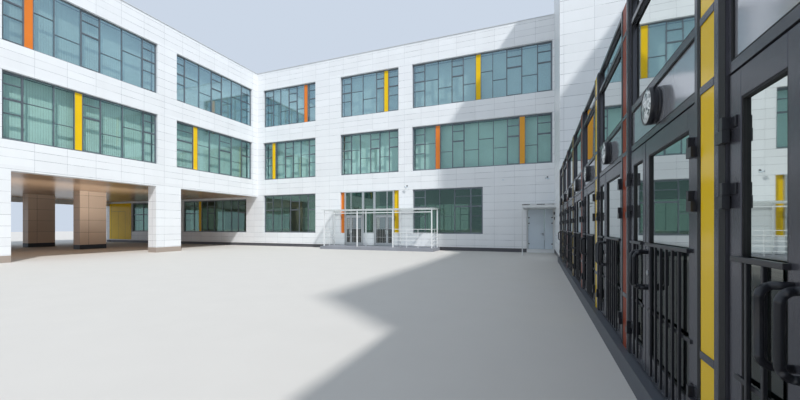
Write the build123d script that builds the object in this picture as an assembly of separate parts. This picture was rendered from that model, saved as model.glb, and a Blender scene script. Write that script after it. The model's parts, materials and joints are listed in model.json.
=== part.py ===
from build123d import *
from functools import cache
import os

# A three-storey school around a court that is open to the south. The sizes are those of a
# half-size model, in millimetres. X runs east, Y runs north and Z up from the court's ground.
# The origin is under the middle of the plan.

# Plan of the wings
WEST_DEPTH = 9000
COURT_WIDTH = 10225
GALLERY_DEPTH = 2275
EAST_DEPTH = 7200
NORTH_DEPTH = 7200
STAIR_LENGTH = 2465
WALL = 225
MOVEMENT_JOINT = 12

# Levels
GROUND_FLOOR = 100
STOREY = 1950
SLAB = 180
SILL = 400
WINDOW_HEIGHT = 1370
PARAPET = 485
STAIR_RISE = 1265
ROOF_SLAB = 150
COPING = 20
COPING_EDGE = 15
COPING_JOINT = 4
PLINTH_HEIGHT = 105
PLINTH_SETBACK = 20

# Windows of the wings, across
WEST_FIRST_WINDOW = 2915
WEST_WINDOW = 3050
WEST_WINDOW_PIER = 550
WEST_CORNER = 250
WINDOW_A = (300, 2585)
WINDOW_B = (3960, 5355)
WINDOW_C = (415, 3675)
GROUND_C = (1900, 4045)
OUTER_WINDOW = 2600
OUTER_BAY = 3600
STREET_WINDOW = 3050
FRAME_FACE = 30
FRAME_DEPTH = 40
REVEAL = 60
GLASS = 10
ACCENT = 135
ACCENT_DEPTH = 14

# Coloured strips, from the left of their windows
STRIP_A1 = 365
STRIP_A2 = 1780
STRIP_B2 = 1225
STRIPS_C1 = (350, 2785)
STRIP_C2 = 1570
STRIPS_WEST = (345, 1200, 555)
STRIP_PASSAGE = 855
RED_UNITS = (0, 2, 4, 6)

# Passage under the west wing
PIER_FIRST = 3400
PIER_BAY = 3600
PIER_WIDTH = 725
PIER_DEPTH = 325
COLUMN_FACES = (3500, 6450)
COLUMN_DEPTH = 340
PIER_PLINTH = 140
SOFFIT = 35
STREET_DOWNSTAND = 210
PASSAGE_WINDOW = (535, 3950)
PASSAGE_SMALL_WINDOW = (1800, 3050)
PASSAGE_PANEL = (240, 1770)
PASSAGE_HEAD = 1765

# Glazed gallery, and every door
GALLERY_BAYS = 8
GALLERY_PITCH = 950
GALLERY_FLOOR = 95
GALLERY_KERB = 40
POST = 35
GALLERY_ACCENT = 110
POST_BACK = 75
DOOR_HEAD = 985
DOOR_RAIL = 25
SPANDREL_TOP = 1175
LIGHT_RAIL = 25
TOP_LIGHT = 1605
TOP_RAIL = 20
GALLERY_TOP = 1765
RAIL_DEPTH = 60
RAIL_SIDE = 12
PANEL_FRONT = 6
PANEL_DEPTH = 20
GALLERY_ROOF = 115
LAMP_WIDTH = 145
LAMP_DEPTH = 45
LAMP_SIDES = 16

LEAF_GAP = 6
MEETING_GAP = 10
LEAF = 30
STILE = 50
HEAD_RAIL = 65
FOOT_RAIL = 90
NARROW_SHARE = 248
GUARD_HEIGHT = 550
GUARD_MIDDLE = 280
GUARD_FOOT = 25
GUARD_BAR = 8
GUARD_RAIL = 12
GUARD_STRAP = 4
GUARD_EDGE = 30
GUARD_SPACING = 60
PULL_LOW = 362
PULL_HIGH = 510
PULL_EDGE = 25
PULL_REACH = 55
PULL_RADIUS = 8
PULL_CORNER = 18
HINGE_HALF = 7
HINGE_LENGTH = 30
HINGE_OUT = 12
HINGE_IN = 5
HINGE_HOLD = 16
HINGE_PLAY = 0.3
HINGE_HEIGHTS = (125, 690, 845)

# Entrance in the north wing
ENTRANCE = (3590, 5710)
ENTRANCE_POST = 30
ENTRANCE_STRIP = 158
DOOR_SET = 650
ENTRANCE_NARROW = 205
PLATFORM = (3300, 7050)
PLATFORM_REACH = 765
CANOPY_FIRST = 3385
CANOPY_PITCH = 1200
CANOPY_BAYS = 3
CANOPY_FRONT = 665
CANOPY_BACK = 65
CANOPY_POST = 30
CANOPY_TOP = 1250
CANOPY_BEAM = 24
CANOPY_DROP = 100
CANOPY_SHEET = 8
CANOPY_OVERHANG = 60
RAILING_HEIGHT = 550
RAILING_ROWS = 5
RAILING_BAR = 14

# Service door beside the stair block
SERVICE_WIDTH = 705
SERVICE_JAMB = 35
SERVICE_HEAD = 1225
SERVICE_NARROW = 208
LEVER_HEIGHT = 415
LEVER_EDGE = 25
LEVER_LENGTH = 62
LEVER_REACH = 26
LEVER_THICK = 9
LEVER_PLATE = (18, 90, 4)
SERVICE_RECESS = 50
SERVICE_CANOPY = 90
SERVICE_CANOPY_TOP = 1285
SERVICE_CANOPY_REACH = 980
SERVICE_CANOPY_SIDE = 90
SERVICE_POST = 25

# Places worked out from the sizes above
WIDTH = WEST_DEPTH + COURT_WIDTH + GALLERY_DEPTH + EAST_DEPTH
COURT_LENGTH = PIER_FIRST + 2 * PIER_BAY + PIER_WIDTH / 2
LENGTH = COURT_LENGTH + NORTH_DEPTH
WEST_OUT = -WIDTH / 2
WEST_FACE = WEST_OUT + WEST_DEPTH
GALLERY_FACE = WEST_FACE + COURT_WIDTH
EAST_FACE = GALLERY_FACE + GALLERY_DEPTH
EAST_OUT = WIDTH / 2
SOUTH_END = -LENGTH / 2
NORTH_FACE = SOUTH_END + COURT_LENGTH
NORTH_OUT = LENGTH / 2
STAIR_SOUTH = NORTH_FACE - STAIR_LENGTH
FLOORS = [GROUND_FLOOR + STOREY * level for level in range(3)]
ROOF = GROUND_FLOOR + 3 * STOREY
WALL_TOP = ROOF + PARAPET
STAIR_TOP = WALL_TOP + STAIR_RISE
HEADS = [floor + SILL + WINDOW_HEIGHT for floor in FLOORS]
UPPER_WALL = HEADS[0]
PASSAGE_TOP = FLOORS[1] - SLAB - SOFFIT
ACCENT_UNIT = 2 * POST + GALLERY_ACCENT
POST_FRONT = HINGE_OUT - HINGE_HALF
GALLERY_LENGTH = GALLERY_BAYS * GALLERY_PITCH + ACCENT_UNIT
GALLERY_SOUTH = STAIR_SOUTH - GALLERY_LENGTH
GALLERY_HEAD = GALLERY_FLOOR + GALLERY_TOP
PAST = 50

# Turn of a facade that faces each way. A facade is drawn facing south, from its left corner
# seen from outside, with depth y going into the building.
SOUTH, EAST, NORTH, WEST = 0, 90, 180, 270


def facade(x, y, facing):
    """The place of a facade's left corner at the ground."""
    return Pos(x, y, 0) * Rot(0, 0, facing)


def block(x0, x1, y0, y1, z0, z1):
    """A box between two corners."""
    return Pos((x0 + x1) / 2, (y0 + y1) / 2, (z0 + z1) / 2) * Box(x1 - x0, y1 - y0, z1 - z0)


def wall(start, end, bottom, top, openings=()):
    """A wall with a set-back plinth where it stands on the ground, and its openings."""
    sheet = block(start, end, 0, WALL, bottom, top)
    for left, right, sill, head in openings:
        sheet -= block(left, right, -PAST, WALL + PAST, sill, head)
    if bottom == 0:
        sheet -= block(start, end, -PAST, PLINTH_SETBACK, -PAST, PLINTH_HEIGHT)
    return sheet


def ring(left, right, front, back, bottom, top, side, lower, upper):
    """A flat frame with one light."""
    whole = block(left, right, front, back, bottom, top)
    light = block(left + side, right - side, front - PAST, back + PAST, bottom + lower, top - upper)
    return whole - light


def storey_window(across, level):
    """An opening with the sill and head of a storey's windows."""
    return (*across, FLOORS[level] + SILL, HEADS[level])


def spread(length, pitch, width):
    """Equal openings in the middle of a facade."""
    count = int(length // pitch)
    first = (length - (count - 1) * pitch) / 2
    return [(first + n * pitch - width / 2, first + n * pitch + width / 2) for n in range(count)]


# Windows of each facade, as left, right, sill and head
west_edges = [(WEST_CORNER, WEST_CORNER + WEST_FIRST_WINDOW)]
while len(west_edges) < 3:
    start = west_edges[-1][1] + WEST_WINDOW_PIER
    west_edges.append((start, start + WEST_WINDOW))
court_across = [(COURT_LENGTH - b, COURT_LENGTH - a) for a, b in west_edges]
west_court_windows = [storey_window(across, level) for level in (1, 2) for across in court_across]
west_street_windows = [storey_window(across, level) for level in (1, 2) for across in west_edges]
west_end_windows = [
    storey_window(across, level)
    for level in (1, 2)
    for across in spread(WEST_DEPTH, OUTER_BAY, OUTER_WINDOW)
]
window_c = (COURT_WIDTH - WINDOW_C[1], COURT_WIDTH - WINDOW_C[0])
north_upper_windows = [
    storey_window(across, level) for level in (1, 2) for across in (WINDOW_A, WINDOW_B, window_c)
]
north_west_windows = [
    storey_window(across, level)
    for level in (0, 1, 2)
    for across in spread(NORTH_DEPTH, OUTER_BAY, OUTER_WINDOW)
]
back_windows = [
    storey_window(across, level)
    for level in (0, 1, 2)
    for across in spread(WIDTH, OUTER_BAY, OUTER_WINDOW)
]
east_outer_windows = [
    storey_window(across, level)
    for level in (0, 1, 2)
    for across in spread(LENGTH, OUTER_BAY, OUTER_WINDOW)
]
east_court_windows = [
    storey_window(across, level)
    for level in (1, 2)
    for across in spread(STAIR_SOUTH - SOUTH_END, OUTER_BAY, OUTER_WINDOW)
]
east_end_windows = [
    storey_window(across, level)
    for level in (0, 1, 2)
    for across in spread(EAST_DEPTH, OUTER_BAY, OUTER_WINDOW)
]
ground_sill = FLOORS[0] + SILL
passage_left = WEST_DEPTH - PASSAGE_WINDOW[1]
passage_right = WEST_DEPTH - PASSAGE_WINDOW[0]
passage_windows = [
    (passage_left, passage_right, ground_sill, PASSAGE_HEAD),
    (*PASSAGE_SMALL_WINDOW, ground_sill, PASSAGE_HEAD),
]
court_end = WEST_DEPTH + COURT_WIDTH
ground_a = storey_window((WEST_DEPTH + WINDOW_A[0], WEST_DEPTH + WINDOW_A[1]), 0)
ground_c = storey_window((court_end - GROUND_C[1], court_end - GROUND_C[0]), 0)

# Places of the facades
west_court = facade(WEST_FACE, SOUTH_END, EAST)
west_street = facade(WEST_OUT, NORTH_FACE, WEST)
west_end = facade(WEST_OUT, SOUTH_END, SOUTH)
north_ground = facade(WEST_OUT, NORTH_FACE, SOUTH)
north_court = facade(WEST_FACE, NORTH_FACE, SOUTH)
north_west = facade(WEST_OUT, NORTH_OUT, WEST)
north_back = facade(EAST_OUT, NORTH_OUT, NORTH)
east_court = facade(EAST_FACE, STAIR_SOUTH, WEST)
east_outer = facade(EAST_OUT, SOUTH_END, EAST)
east_end = facade(EAST_FACE, SOUTH_END, SOUTH)
gallery = facade(GALLERY_FACE, STAIR_SOUTH, WEST)
gallery_end = facade(GALLERY_FACE + POST_BACK, GALLERY_SOUTH, SOUTH)

nodes = {}


def keep(name, *solids):
    """One named piece, of one solid or of several that stand apart."""
    nodes[name] = solids[0] if len(solids) == 1 else Compound(children=list(solids))


def make_walls():
    """The outer walls, cut through by their windows."""
    street_bottom = UPPER_WALL - STREET_DOWNSTAND
    keep(
        "west_side_walls",
        west_court * wall(0, COURT_LENGTH, PASSAGE_TOP, WALL_TOP, west_court_windows),
        west_street * wall(0, COURT_LENGTH, street_bottom, WALL_TOP, west_street_windows),
    )
    east_length = STAIR_SOUTH - SOUTH_END
    keep(
        "east_side_walls",
        east_court * wall(0, east_length, 0, WALL_TOP, east_court_windows),
        east_outer * wall(0, LENGTH - WALL, 0, WALL_TOP, east_outer_windows),
    )
    keep(
        "end_walls",
        west_end * wall(WALL, WEST_DEPTH - WALL, street_bottom, WALL_TOP, west_end_windows),
        east_end * wall(WALL, EAST_DEPTH - WALL, 0, WALL_TOP, east_end_windows),
        north_west * wall(WALL, NORTH_DEPTH, 0, WALL_TOP, north_west_windows),
    )
    keep("north_back_wall", north_back * wall(0, WIDTH, 0, WALL_TOP, back_windows))
    upper = wall(-WALL, COURT_WIDTH, UPPER_WALL, WALL_TOP, north_upper_windows)
    keep("north_court_wall", north_court * upper)
    entrance_left = WEST_DEPTH + ENTRANCE[0]
    entrance_right = WEST_DEPTH + ENTRANCE[1]
    service_left = WEST_DEPTH + COURT_WIDTH - SERVICE_WIDTH
    keep(
        "north_ground_walls",
        north_ground * wall(WALL, entrance_left, 0, UPPER_WALL, [*passage_windows, ground_a]),
        north_ground * wall(entrance_right, service_left, 0, UPPER_WALL, [ground_c]),
    )
    head = wall(COURT_WIDTH - SERVICE_WIDTH, COURT_WIDTH, SERVICE_HEAD, UPPER_WALL)
    keep("service_door_head", north_court * head)


def make_stair_block():
    """The taller block in the corner of the court, with its head above the roofs."""
    inner = GALLERY_FACE + WALL
    outer = EAST_FACE + WALL
    west = block(GALLERY_FACE, inner, STAIR_SOUTH, NORTH_FACE + WALL, 0, STAIR_TOP)
    south = block(inner, EAST_FACE, STAIR_SOUTH, STAIR_SOUTH + WALL, 0, STAIR_TOP)
    step = block(EAST_FACE, outer, STAIR_SOUTH, STAIR_SOUTH + WALL, 0, STAIR_TOP)
    setback = GALLERY_FACE + PLINTH_SETBACK
    groove = block(GALLERY_FACE - PAST, setback, STAIR_SOUTH, NORTH_FACE, -PAST, PLINTH_HEIGHT)
    keep("stair_block_walls", west + south + step - groove)
    bottom = ROOF - ROOF_SLAB
    north_leg = block(inner, outer, NORTH_FACE, NORTH_FACE + WALL, bottom, STAIR_TOP)
    east_leg = block(EAST_FACE, outer, STAIR_SOUTH + WALL, NORTH_FACE, bottom, STAIR_TOP)
    keep("stair_head_walls", north_leg + east_leg)
    roof_top = STAIR_TOP - PARAPET / 2
    lid = block(inner, EAST_FACE, STAIR_SOUTH + WALL, NORTH_FACE, roof_top - ROOF_SLAB, roof_top)
    keep("stair_roof", lid)


def wing_slabs(bottom, top, with_west):
    """One level's slabs: the north wing, the east wing and, above the passage, the west wing."""
    north_edge = NORTH_FACE + WALL
    slabs = [block(WEST_OUT + WALL, EAST_OUT - WALL, north_edge, NORTH_OUT - WALL, bottom, top)]
    meet = north_edge - MOVEMENT_JOINT
    slabs.append(block(EAST_FACE + WALL, EAST_OUT - WALL, SOUTH_END + WALL, meet, bottom, top))
    if with_west:
        slabs.append(block(WEST_OUT + WALL, WEST_FACE - WALL, SOUTH_END + WALL, meet, bottom, top))
    return slabs


def make_slabs():
    """The floors at each row of windows, and the flat roofs."""
    meet = NORTH_FACE + WALL - MOVEMENT_JOINT
    stair_east = EAST_FACE + WALL - MOVEMENT_JOINT
    stair = block(GALLERY_FACE + WALL, stair_east, STAIR_SOUTH + WALL, meet, 0, FLOORS[0])
    front = GALLERY_FACE - GALLERY_KERB
    gallery_floor = block(front, EAST_FACE, GALLERY_SOUTH, STAIR_SOUTH, 0, GALLERY_FLOOR)
    floors = wing_slabs(0, FLOORS[0], False)
    for level in FLOORS[1:]:
        floors += wing_slabs(level - SLAB, level, True)
    keep("floor_slabs", *floors, stair, gallery_floor)
    keep("roof_slabs", *wing_slabs(ROOF - ROOF_SLAB, ROOF, True))


def make_passage():
    """The open passage under the west wing: its soffit, court piers and inner columns."""
    soffit = block(
        WEST_OUT + WALL,
        WEST_FACE - WALL,
        SOUTH_END + WALL,
        NORTH_FACE,
        PASSAGE_TOP,
        PASSAGE_TOP + SOFFIT,
    )
    keep("undercroft_soffit", soffit)
    end_wall = west_end * block(
        WALL, WEST_DEPTH - WALL, 0, WALL, UPPER_WALL - STREET_DOWNSTAND, WALL_TOP
    )
    piers = []
    columns = []
    for row in range(3):
        middle = NORTH_FACE - PIER_FIRST - row * PIER_BAY
        low, high = middle - PIER_WIDTH / 2, middle + PIER_WIDTH / 2
        pier = block(WEST_FACE - PIER_DEPTH, WEST_FACE, low, high, 0, PASSAGE_TOP)
        piers.append(pier - end_wall)
        for face in COLUMN_FACES:
            east = WEST_FACE - face
            column = block(east - COLUMN_DEPTH, east, low, high, 0, PASSAGE_TOP)
            columns.append(column - end_wall)
    keep("undercroft_piers", *piers)
    keep("undercroft_columns", *columns)


def make_windows():
    """A frame and a pane in every opening of the walls."""
    frames = []
    panes = []
    rows = [
        (west_court, west_court_windows),
        (west_street, west_street_windows),
        (west_end, west_end_windows),
        (north_court, north_upper_windows),
        (north_ground, [*passage_windows, ground_a, ground_c]),
        (north_west, north_west_windows),
        (north_back, back_windows),
        (east_outer, east_outer_windows),
        (east_court, east_court_windows),
        (east_end, east_end_windows),
    ]
    back = REVEAL + FRAME_DEPTH
    glass_front = REVEAL + ACCENT_DEPTH
    for place, windows in rows:
        for left, right, sill, head in windows:
            face = FRAME_FACE
            frames.append(place * ring(left, right, REVEAL, back, sill, head, face, face, face))
            pane = block(
                left + face,
                right - face,
                glass_front,
                glass_front + GLASS,
                sill + face,
                head - face,
            )
            panes.append(place * pane)
    keep("window_frames", *frames)
    keep("window_glass", *panes, *entrance_panes())


def window_strip(place, window, offset):
    """A coloured strip in front of a window's glass, a given way from its left edge."""
    left = window[0] + offset
    sill, head = window[2] + FRAME_FACE, window[3] - FRAME_FACE
    return place * block(left, left + ACCENT, REVEAL, REVEAL + ACCENT_DEPTH, sill, head)


def make_strips():
    """The coloured strips, where the photograph shows them, and the passage's yellow panel."""
    north_a1, north_b1, north_c1, north_a2, north_b2, north_c2 = north_upper_windows
    court_3, court_2, court_1 = west_court_windows[:3]
    court_6, court_5, court_4 = west_court_windows[3:]
    yellow = [
        window_strip(north_court, north_a1, STRIP_A1),
        window_strip(north_court, north_b2, STRIP_B2),
        window_strip(north_court, north_c2, STRIP_C2),
        window_strip(west_court, court_2, STRIPS_WEST[1]),
        window_strip(west_court, court_1, STRIPS_WEST[2]),
        window_strip(north_ground, passage_windows[0], STRIP_PASSAGE),
    ]
    orange = [
        window_strip(north_court, north_a2, STRIP_A2),
        window_strip(north_court, north_c1, STRIPS_C1[0]),
        window_strip(north_court, north_c1, STRIPS_C1[1]),
        window_strip(west_court, court_5, STRIPS_WEST[0]),
    ]
    strip_front = REVEAL
    strip_back = REVEAL + ACCENT_DEPTH
    left, right = ENTRANCE
    bottom = FLOORS[0] + SILL
    low_strip = (strip_front, strip_back, bottom, UPPER_WALL)
    orange.append(north_court * block(left, left + ENTRANCE_STRIP, *low_strip))
    yellow.append(north_court * block(right - ENTRANCE_STRIP, right, *low_strip))
    panel = block(*PASSAGE_PANEL, -ACCENT_DEPTH, 0, PIER_PLINTH, PASSAGE_HEAD)
    yellow.append(north_ground * panel)
    red = []
    for unit in range(GALLERY_BAYS + 1):
        start = unit * GALLERY_PITCH + POST
        depths = (PANEL_FRONT, PANEL_FRONT + PANEL_DEPTH)
        strip = block(start, start + GALLERY_ACCENT, *depths, GALLERY_FLOOR, GALLERY_HEAD)
        (red if unit in RED_UNITS else yellow).append(gallery * strip)
    keep("yellow_panels", *yellow)
    keep("orange_panels", *orange)
    keep("red_panels", *red)


def hinge_block(z):
    """The fixed half of a hinge, on the post beside a left-hung leaf whose edge is at x = 0."""
    half = HINGE_HALF
    left, right = -LEAF_GAP - HINGE_HOLD, HINGE_IN + half
    top = z - HINGE_PLAY
    return block(left, right, -HINGE_OUT - half, -HINGE_OUT + half, top - HINGE_LENGTH, top)


def knuckle(z):
    """The moving half of a hinge, on the leaf's outer face."""
    half = HINGE_HALF
    return block(HINGE_IN - half, HINGE_IN + half, -HINGE_OUT - half, 0, z, z + HINGE_LENGTH)


def pull_handle(x):
    """A D-shaped pull of bent tube that stands off the leaf's outer face."""
    reach, corner = PULL_REACH, PULL_CORNER
    path = Polyline(
        (x, 0, PULL_LOW),
        (x, -reach + corner, PULL_LOW),
        (x, -reach, PULL_LOW + corner),
        (x, -reach, PULL_HIGH - corner),
        (x, -reach + corner, PULL_HIGH),
        (x, 0, PULL_HIGH),
    )
    section = Plane(origin=(x, 0, PULL_LOW), z_dir=(0, -1, 0)) * RegularPolygon(PULL_RADIUS, 6)
    return sweep(section, path=path, transition=Transition.RIGHT)


def lever_handle(x):
    """A lever on a narrow plate, pointing away from the meeting edge."""
    across, tall, thick = LEVER_PLATE
    low = LEVER_HEIGHT - LEVER_THICK / 2
    high = LEVER_HEIGHT + LEVER_THICK / 2
    half = LEVER_THICK / 2
    plate = block(x - across / 2, x + across / 2, -thick, 0, LEVER_HEIGHT - tall / 2, high + across)
    neck = block(x - half, x + half, -LEVER_REACH, -thick, low, high)
    grip = block(x + half - LEVER_LENGTH, x + half, -LEVER_REACH - LEVER_THICK, -LEVER_REACH, low, high)
    return plate + neck + grip


def guard(width):
    """A rail, a strap and bars that keep feet and bags off the glass."""
    left, right = GUARD_EDGE, width - GUARD_EDGE
    pieces = block(left, right, -GUARD_RAIL, 0, GUARD_HEIGHT - GUARD_RAIL, GUARD_HEIGHT)
    pieces += block(left, right, -GUARD_STRAP, 0, GUARD_MIDDLE - GUARD_RAIL, GUARD_MIDDLE)
    count = int((width - 2 * STILE) // GUARD_SPACING)
    first = width / 2 - (count - 1) * GUARD_SPACING / 2
    half = GUARD_BAR / 2
    depths = (-GUARD_STRAP - GUARD_BAR, -GUARD_STRAP)
    for n in range(count):
        x = first + n * GUARD_SPACING
        pieces += block(x - half, x + half, *depths, GUARD_FOOT, GUARD_HEIGHT - GUARD_RAIL)
    return pieces


@cache
def leaf(width, height, glazed, handle):
    """A left-hung door leaf: its edge at x = 0, its outer face at y = 0, its foot at z = 0."""
    body = block(0, width, 0, LEAF, 0, height)
    if glazed:
        web = (LEAF - GLASS) / 2
        inside = (STILE, width - STILE)
        body -= block(*inside, -PAST, web, FOOT_RAIL, height - HEAD_RAIL)
        body -= block(*inside, LEAF - web, LEAF + PAST, FOOT_RAIL, height - HEAD_RAIL)
        body += guard(width)
    if handle == "pull":
        body += pull_handle(width - PULL_EDGE)
    if handle == "lever":
        body += lever_handle(width - LEVER_EDGE)
    for z in HINGE_HEIGHTS:
        body += knuckle(z)
    return body


def door_pair(name, place, left, right, foot, head, narrow, narrow_left=True, glazed=True):
    """Two unequal leaves that meet, each hung on the outer side of its opening."""
    height = head - foot - 2 * LEAF_GAP
    wide = right - left - 2 * LEAF_GAP - MEETING_GAP - narrow
    widths = {"narrow": narrow, "wide": wide}
    handles = {"narrow": "pull", "wide": "pull"} if glazed else {"narrow": None, "wide": "lever"}
    order = ("narrow", "wide") if narrow_left else ("wide", "narrow")
    low = foot + LEAF_GAP
    left_leaf, right_leaf = [leaf(widths[n], height, glazed, handles[n]) for n in order]
    right_leaf = mirror(right_leaf, about=Plane.YZ)
    keep(f"{name}_{order[0]}", place * Pos(left + LEAF_GAP, 0, low) * left_leaf)
    keep(f"{name}_{order[1]}", place * Pos(right - LEAF_GAP, 0, low) * right_leaf)


def hinge_blocks(edge, foot, mirrored=False):
    """The fixed hinge halves on the post at one side of a door opening."""
    blocks = None
    for z in HINGE_HEIGHTS:
        one = hinge_block(z)
        blocks = one if blocks is None else blocks + one
    if mirrored:
        blocks = mirror(blocks, about=Plane.YZ)
        return Pos(edge - LEAF_GAP, 0, foot + LEAF_GAP) * blocks
    return Pos(edge + LEAF_GAP, 0, foot + LEAF_GAP) * blocks


def door_post(left, right, bottom, top, foot, hinge_left, hinge_right):
    """A post with fixed hinge halves on the sides that carry a leaf."""
    post = block(left, right, -POST_FRONT, POST_BACK, bottom, top)
    if hinge_left:
        post += hinge_blocks(left, foot, mirrored=True)
    if hinge_right:
        post += hinge_blocks(right, foot)
    return post


def make_gallery():
    """The one-storey glazed gallery along the court's east side, with its doors."""
    posts = []
    rails = []
    spandrels = []
    lamps = []
    panes = []
    foot, top = GALLERY_FLOOR, GALLERY_HEAD
    for unit in range(GALLERY_BAYS + 1):
        start = unit * GALLERY_PITCH
        inner = start + ACCENT_UNIT - POST
        end = start + ACCENT_UNIT
        first, last = unit == 0, unit == GALLERY_BAYS
        posts.append(gallery * door_post(start, start + POST, foot, top, foot, not first, False))
        posts.append(gallery * door_post(inner, end, foot, top, foot, False, not last))
    lights = (
        (DOOR_HEAD + DOOR_RAIL, SPANDREL_TOP),
        (SPANDREL_TOP + LIGHT_RAIL, TOP_LIGHT),
        (TOP_LIGHT + TOP_RAIL, GALLERY_TOP - TOP_RAIL),
    )
    for bay in range(GALLERY_BAYS):
        left = bay * GALLERY_PITCH + ACCENT_UNIT
        right = (bay + 1) * GALLERY_PITCH
        inner_left, inner_right = left + RAIL_SIDE, right - RAIL_SIDE
        grille = block(left, right, 0, RAIL_DEPTH, foot + DOOR_HEAD, top)
        for low, high in lights:
            hole = (inner_left, inner_right, -PAST, RAIL_DEPTH + PAST, foot + low, foot + high)
            grille -= block(*hole)
        rails.append(gallery * grille)
        depths = (PANEL_FRONT, PANEL_FRONT + PANEL_DEPTH)
        low, high = lights[0]
        spandrel = block(inner_left, inner_right, *depths, foot + low, foot + high)
        spandrels.append(gallery * spandrel)
        for low, high in lights[1:]:
            pane = block(
                inner_left,
                inner_right,
                PANEL_FRONT + GLASS,
                PANEL_FRONT + 2 * GLASS,
                foot + low,
                foot + high,
            )
            panes.append(gallery * pane)
        lamp_level = foot + (lights[0][0] + lights[0][1]) / 2
        centre = Pos((left + right) / 2, PANEL_FRONT, lamp_level) * Rot(90, 0, 0)
        lamp = extrude(RegularPolygon(LAMP_WIDTH / 2, LAMP_SIDES), LAMP_DEPTH)
        lamps.append(gallery * centre * lamp)
        door_pair(
            f"gallery_door_{bay + 1}",
            gallery,
            left,
            right,
            foot,
            foot + DOOR_HEAD,
            NARROW_SHARE,
        )
    span = GALLERY_DEPTH - POST_BACK
    end_frame = block(0, span, 0, RAIL_DEPTH, foot, top)
    bays = 2
    light_width = (span - (bays + 1) * POST) / bays
    roof_bottom = top - TOP_RAIL - GALLERY_ROOF
    for n in range(bays):
        left = POST + n * (light_width + POST)
        for low, high in ((foot + POST, foot + DOOR_HEAD), (foot + SPANDREL_TOP, roof_bottom)):
            end_frame -= block(left, left + light_width, -PAST, RAIL_DEPTH + PAST, low, high)
            depths = (PANEL_FRONT + GLASS, PANEL_FRONT + 2 * GLASS)
            panes.append(gallery_end * block(left, left + light_width, *depths, low, high))
    rails.append(gallery_end * end_frame)
    keep("gallery_posts", *posts)
    keep("gallery_rails", *rails)
    keep("gallery_spandrels", *spandrels)
    keep("gallery_glass", *panes)
    keep("gallery_lamps", *lamps)
    roof = block(
        GALLERY_FACE + POST_BACK,
        EAST_FACE,
        GALLERY_SOUTH + RAIL_DEPTH,
        STAIR_SOUTH,
        roof_bottom,
        top - TOP_RAIL,
    )
    keep("gallery_roof", roof)


def entrance_places():
    """The posts of the entrance, left to right, as their left edges."""
    left, right = ENTRANCE
    first = left + ENTRANCE_STRIP
    last = right - ENTRANCE_STRIP - ENTRANCE_POST
    second = first + ENTRANCE_POST + DOOR_SET
    third = last - DOOR_SET - ENTRANCE_POST
    return first, second, third, last


def entrance_frames():
    """The fixed frames over and between the doors: left, right, bottom and inner mullions."""
    first, second, third, last = entrance_places()
    over_doors = GALLERY_FLOOR + DOOR_HEAD
    meeting = LEAF_GAP + ENTRANCE_NARROW + MEETING_GAP / 2
    return (
        (first + ENTRANCE_POST, second, over_doors, [first + ENTRANCE_POST + meeting]),
        (second + ENTRANCE_POST, third, FLOORS[0] + SILL, []),
        (third + ENTRANCE_POST, last, over_doors, [last - meeting]),
    )


def frame_lights(left, right, mullions):
    """The lights of a frame, between its sides and its mullions."""
    starts = [left + DOOR_RAIL] + [m + DOOR_RAIL / 2 for m in mullions]
    ends = [m - DOOR_RAIL / 2 for m in mullions] + [right - DOOR_RAIL]
    return list(zip(starts, ends))


def entrance_panes():
    """The glass of the entrance's fixed lights."""
    panes = []
    depths = (PANEL_FRONT + GLASS, PANEL_FRONT + 2 * GLASS)
    for left, right, bottom, mullions in entrance_frames():
        heights = (bottom + DOOR_RAIL, UPPER_WALL - DOOR_RAIL)
        for start, end in frame_lights(left, right, mullions):
            panes.append(north_court * block(start, end, *depths, *heights))
    return panes


def make_entrance():
    """The main entrance: posts, lights, low panels, doors, platform and light canopy."""
    first, second, third, last = entrance_places()
    foot = GALLERY_FLOOR
    posts = []
    for left, hinge_left, hinge_right in (
        (first, False, True),
        (second, True, False),
        (third, False, True),
        (last, True, False),
    ):
        right = left + ENTRANCE_POST
        post = door_post(left, right, foot, UPPER_WALL, foot, hinge_left, hinge_right)
        posts.append(north_court * post)
    keep("entrance_posts", *posts)
    rails = []
    for left, right, bottom, mullions in entrance_frames():
        frame = block(left, right, 0, RAIL_DEPTH, bottom, UPPER_WALL)
        heights = (bottom + DOOR_RAIL, UPPER_WALL - DOOR_RAIL)
        for start, end in frame_lights(left, right, mullions):
            frame -= block(start, end, -PAST, RAIL_DEPTH + PAST, *heights)
        rails.append(north_court * frame)
    keep("entrance_rails", *rails)
    sill = FLOORS[0] + SILL
    left, right = ENTRANCE
    keep(
        "entrance_aprons",
        north_court * block(left, first, 0, WALL, 0, sill),
        north_court * block(second + ENTRANCE_POST, third, 0, WALL, foot, sill),
        north_court * block(last + ENTRANCE_POST, right, 0, WALL, 0, sill),
    )
    for number, start in enumerate((first, third), 1):
        door_pair(
            f"entrance_door_{number}",
            north_court,
            start + ENTRANCE_POST,
            start + ENTRANCE_POST + DOOR_SET,
            foot,
            foot + DOOR_HEAD,
            ENTRANCE_NARROW,
            narrow_left=number == 1,
        )
    platform = block(*PLATFORM, -PLATFORM_REACH, 0, 0, foot)
    threshold = block(first, last + ENTRANCE_POST, 0, WALL, 0, foot)
    keep("entrance_platform", north_court * (platform + threshold))


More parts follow.
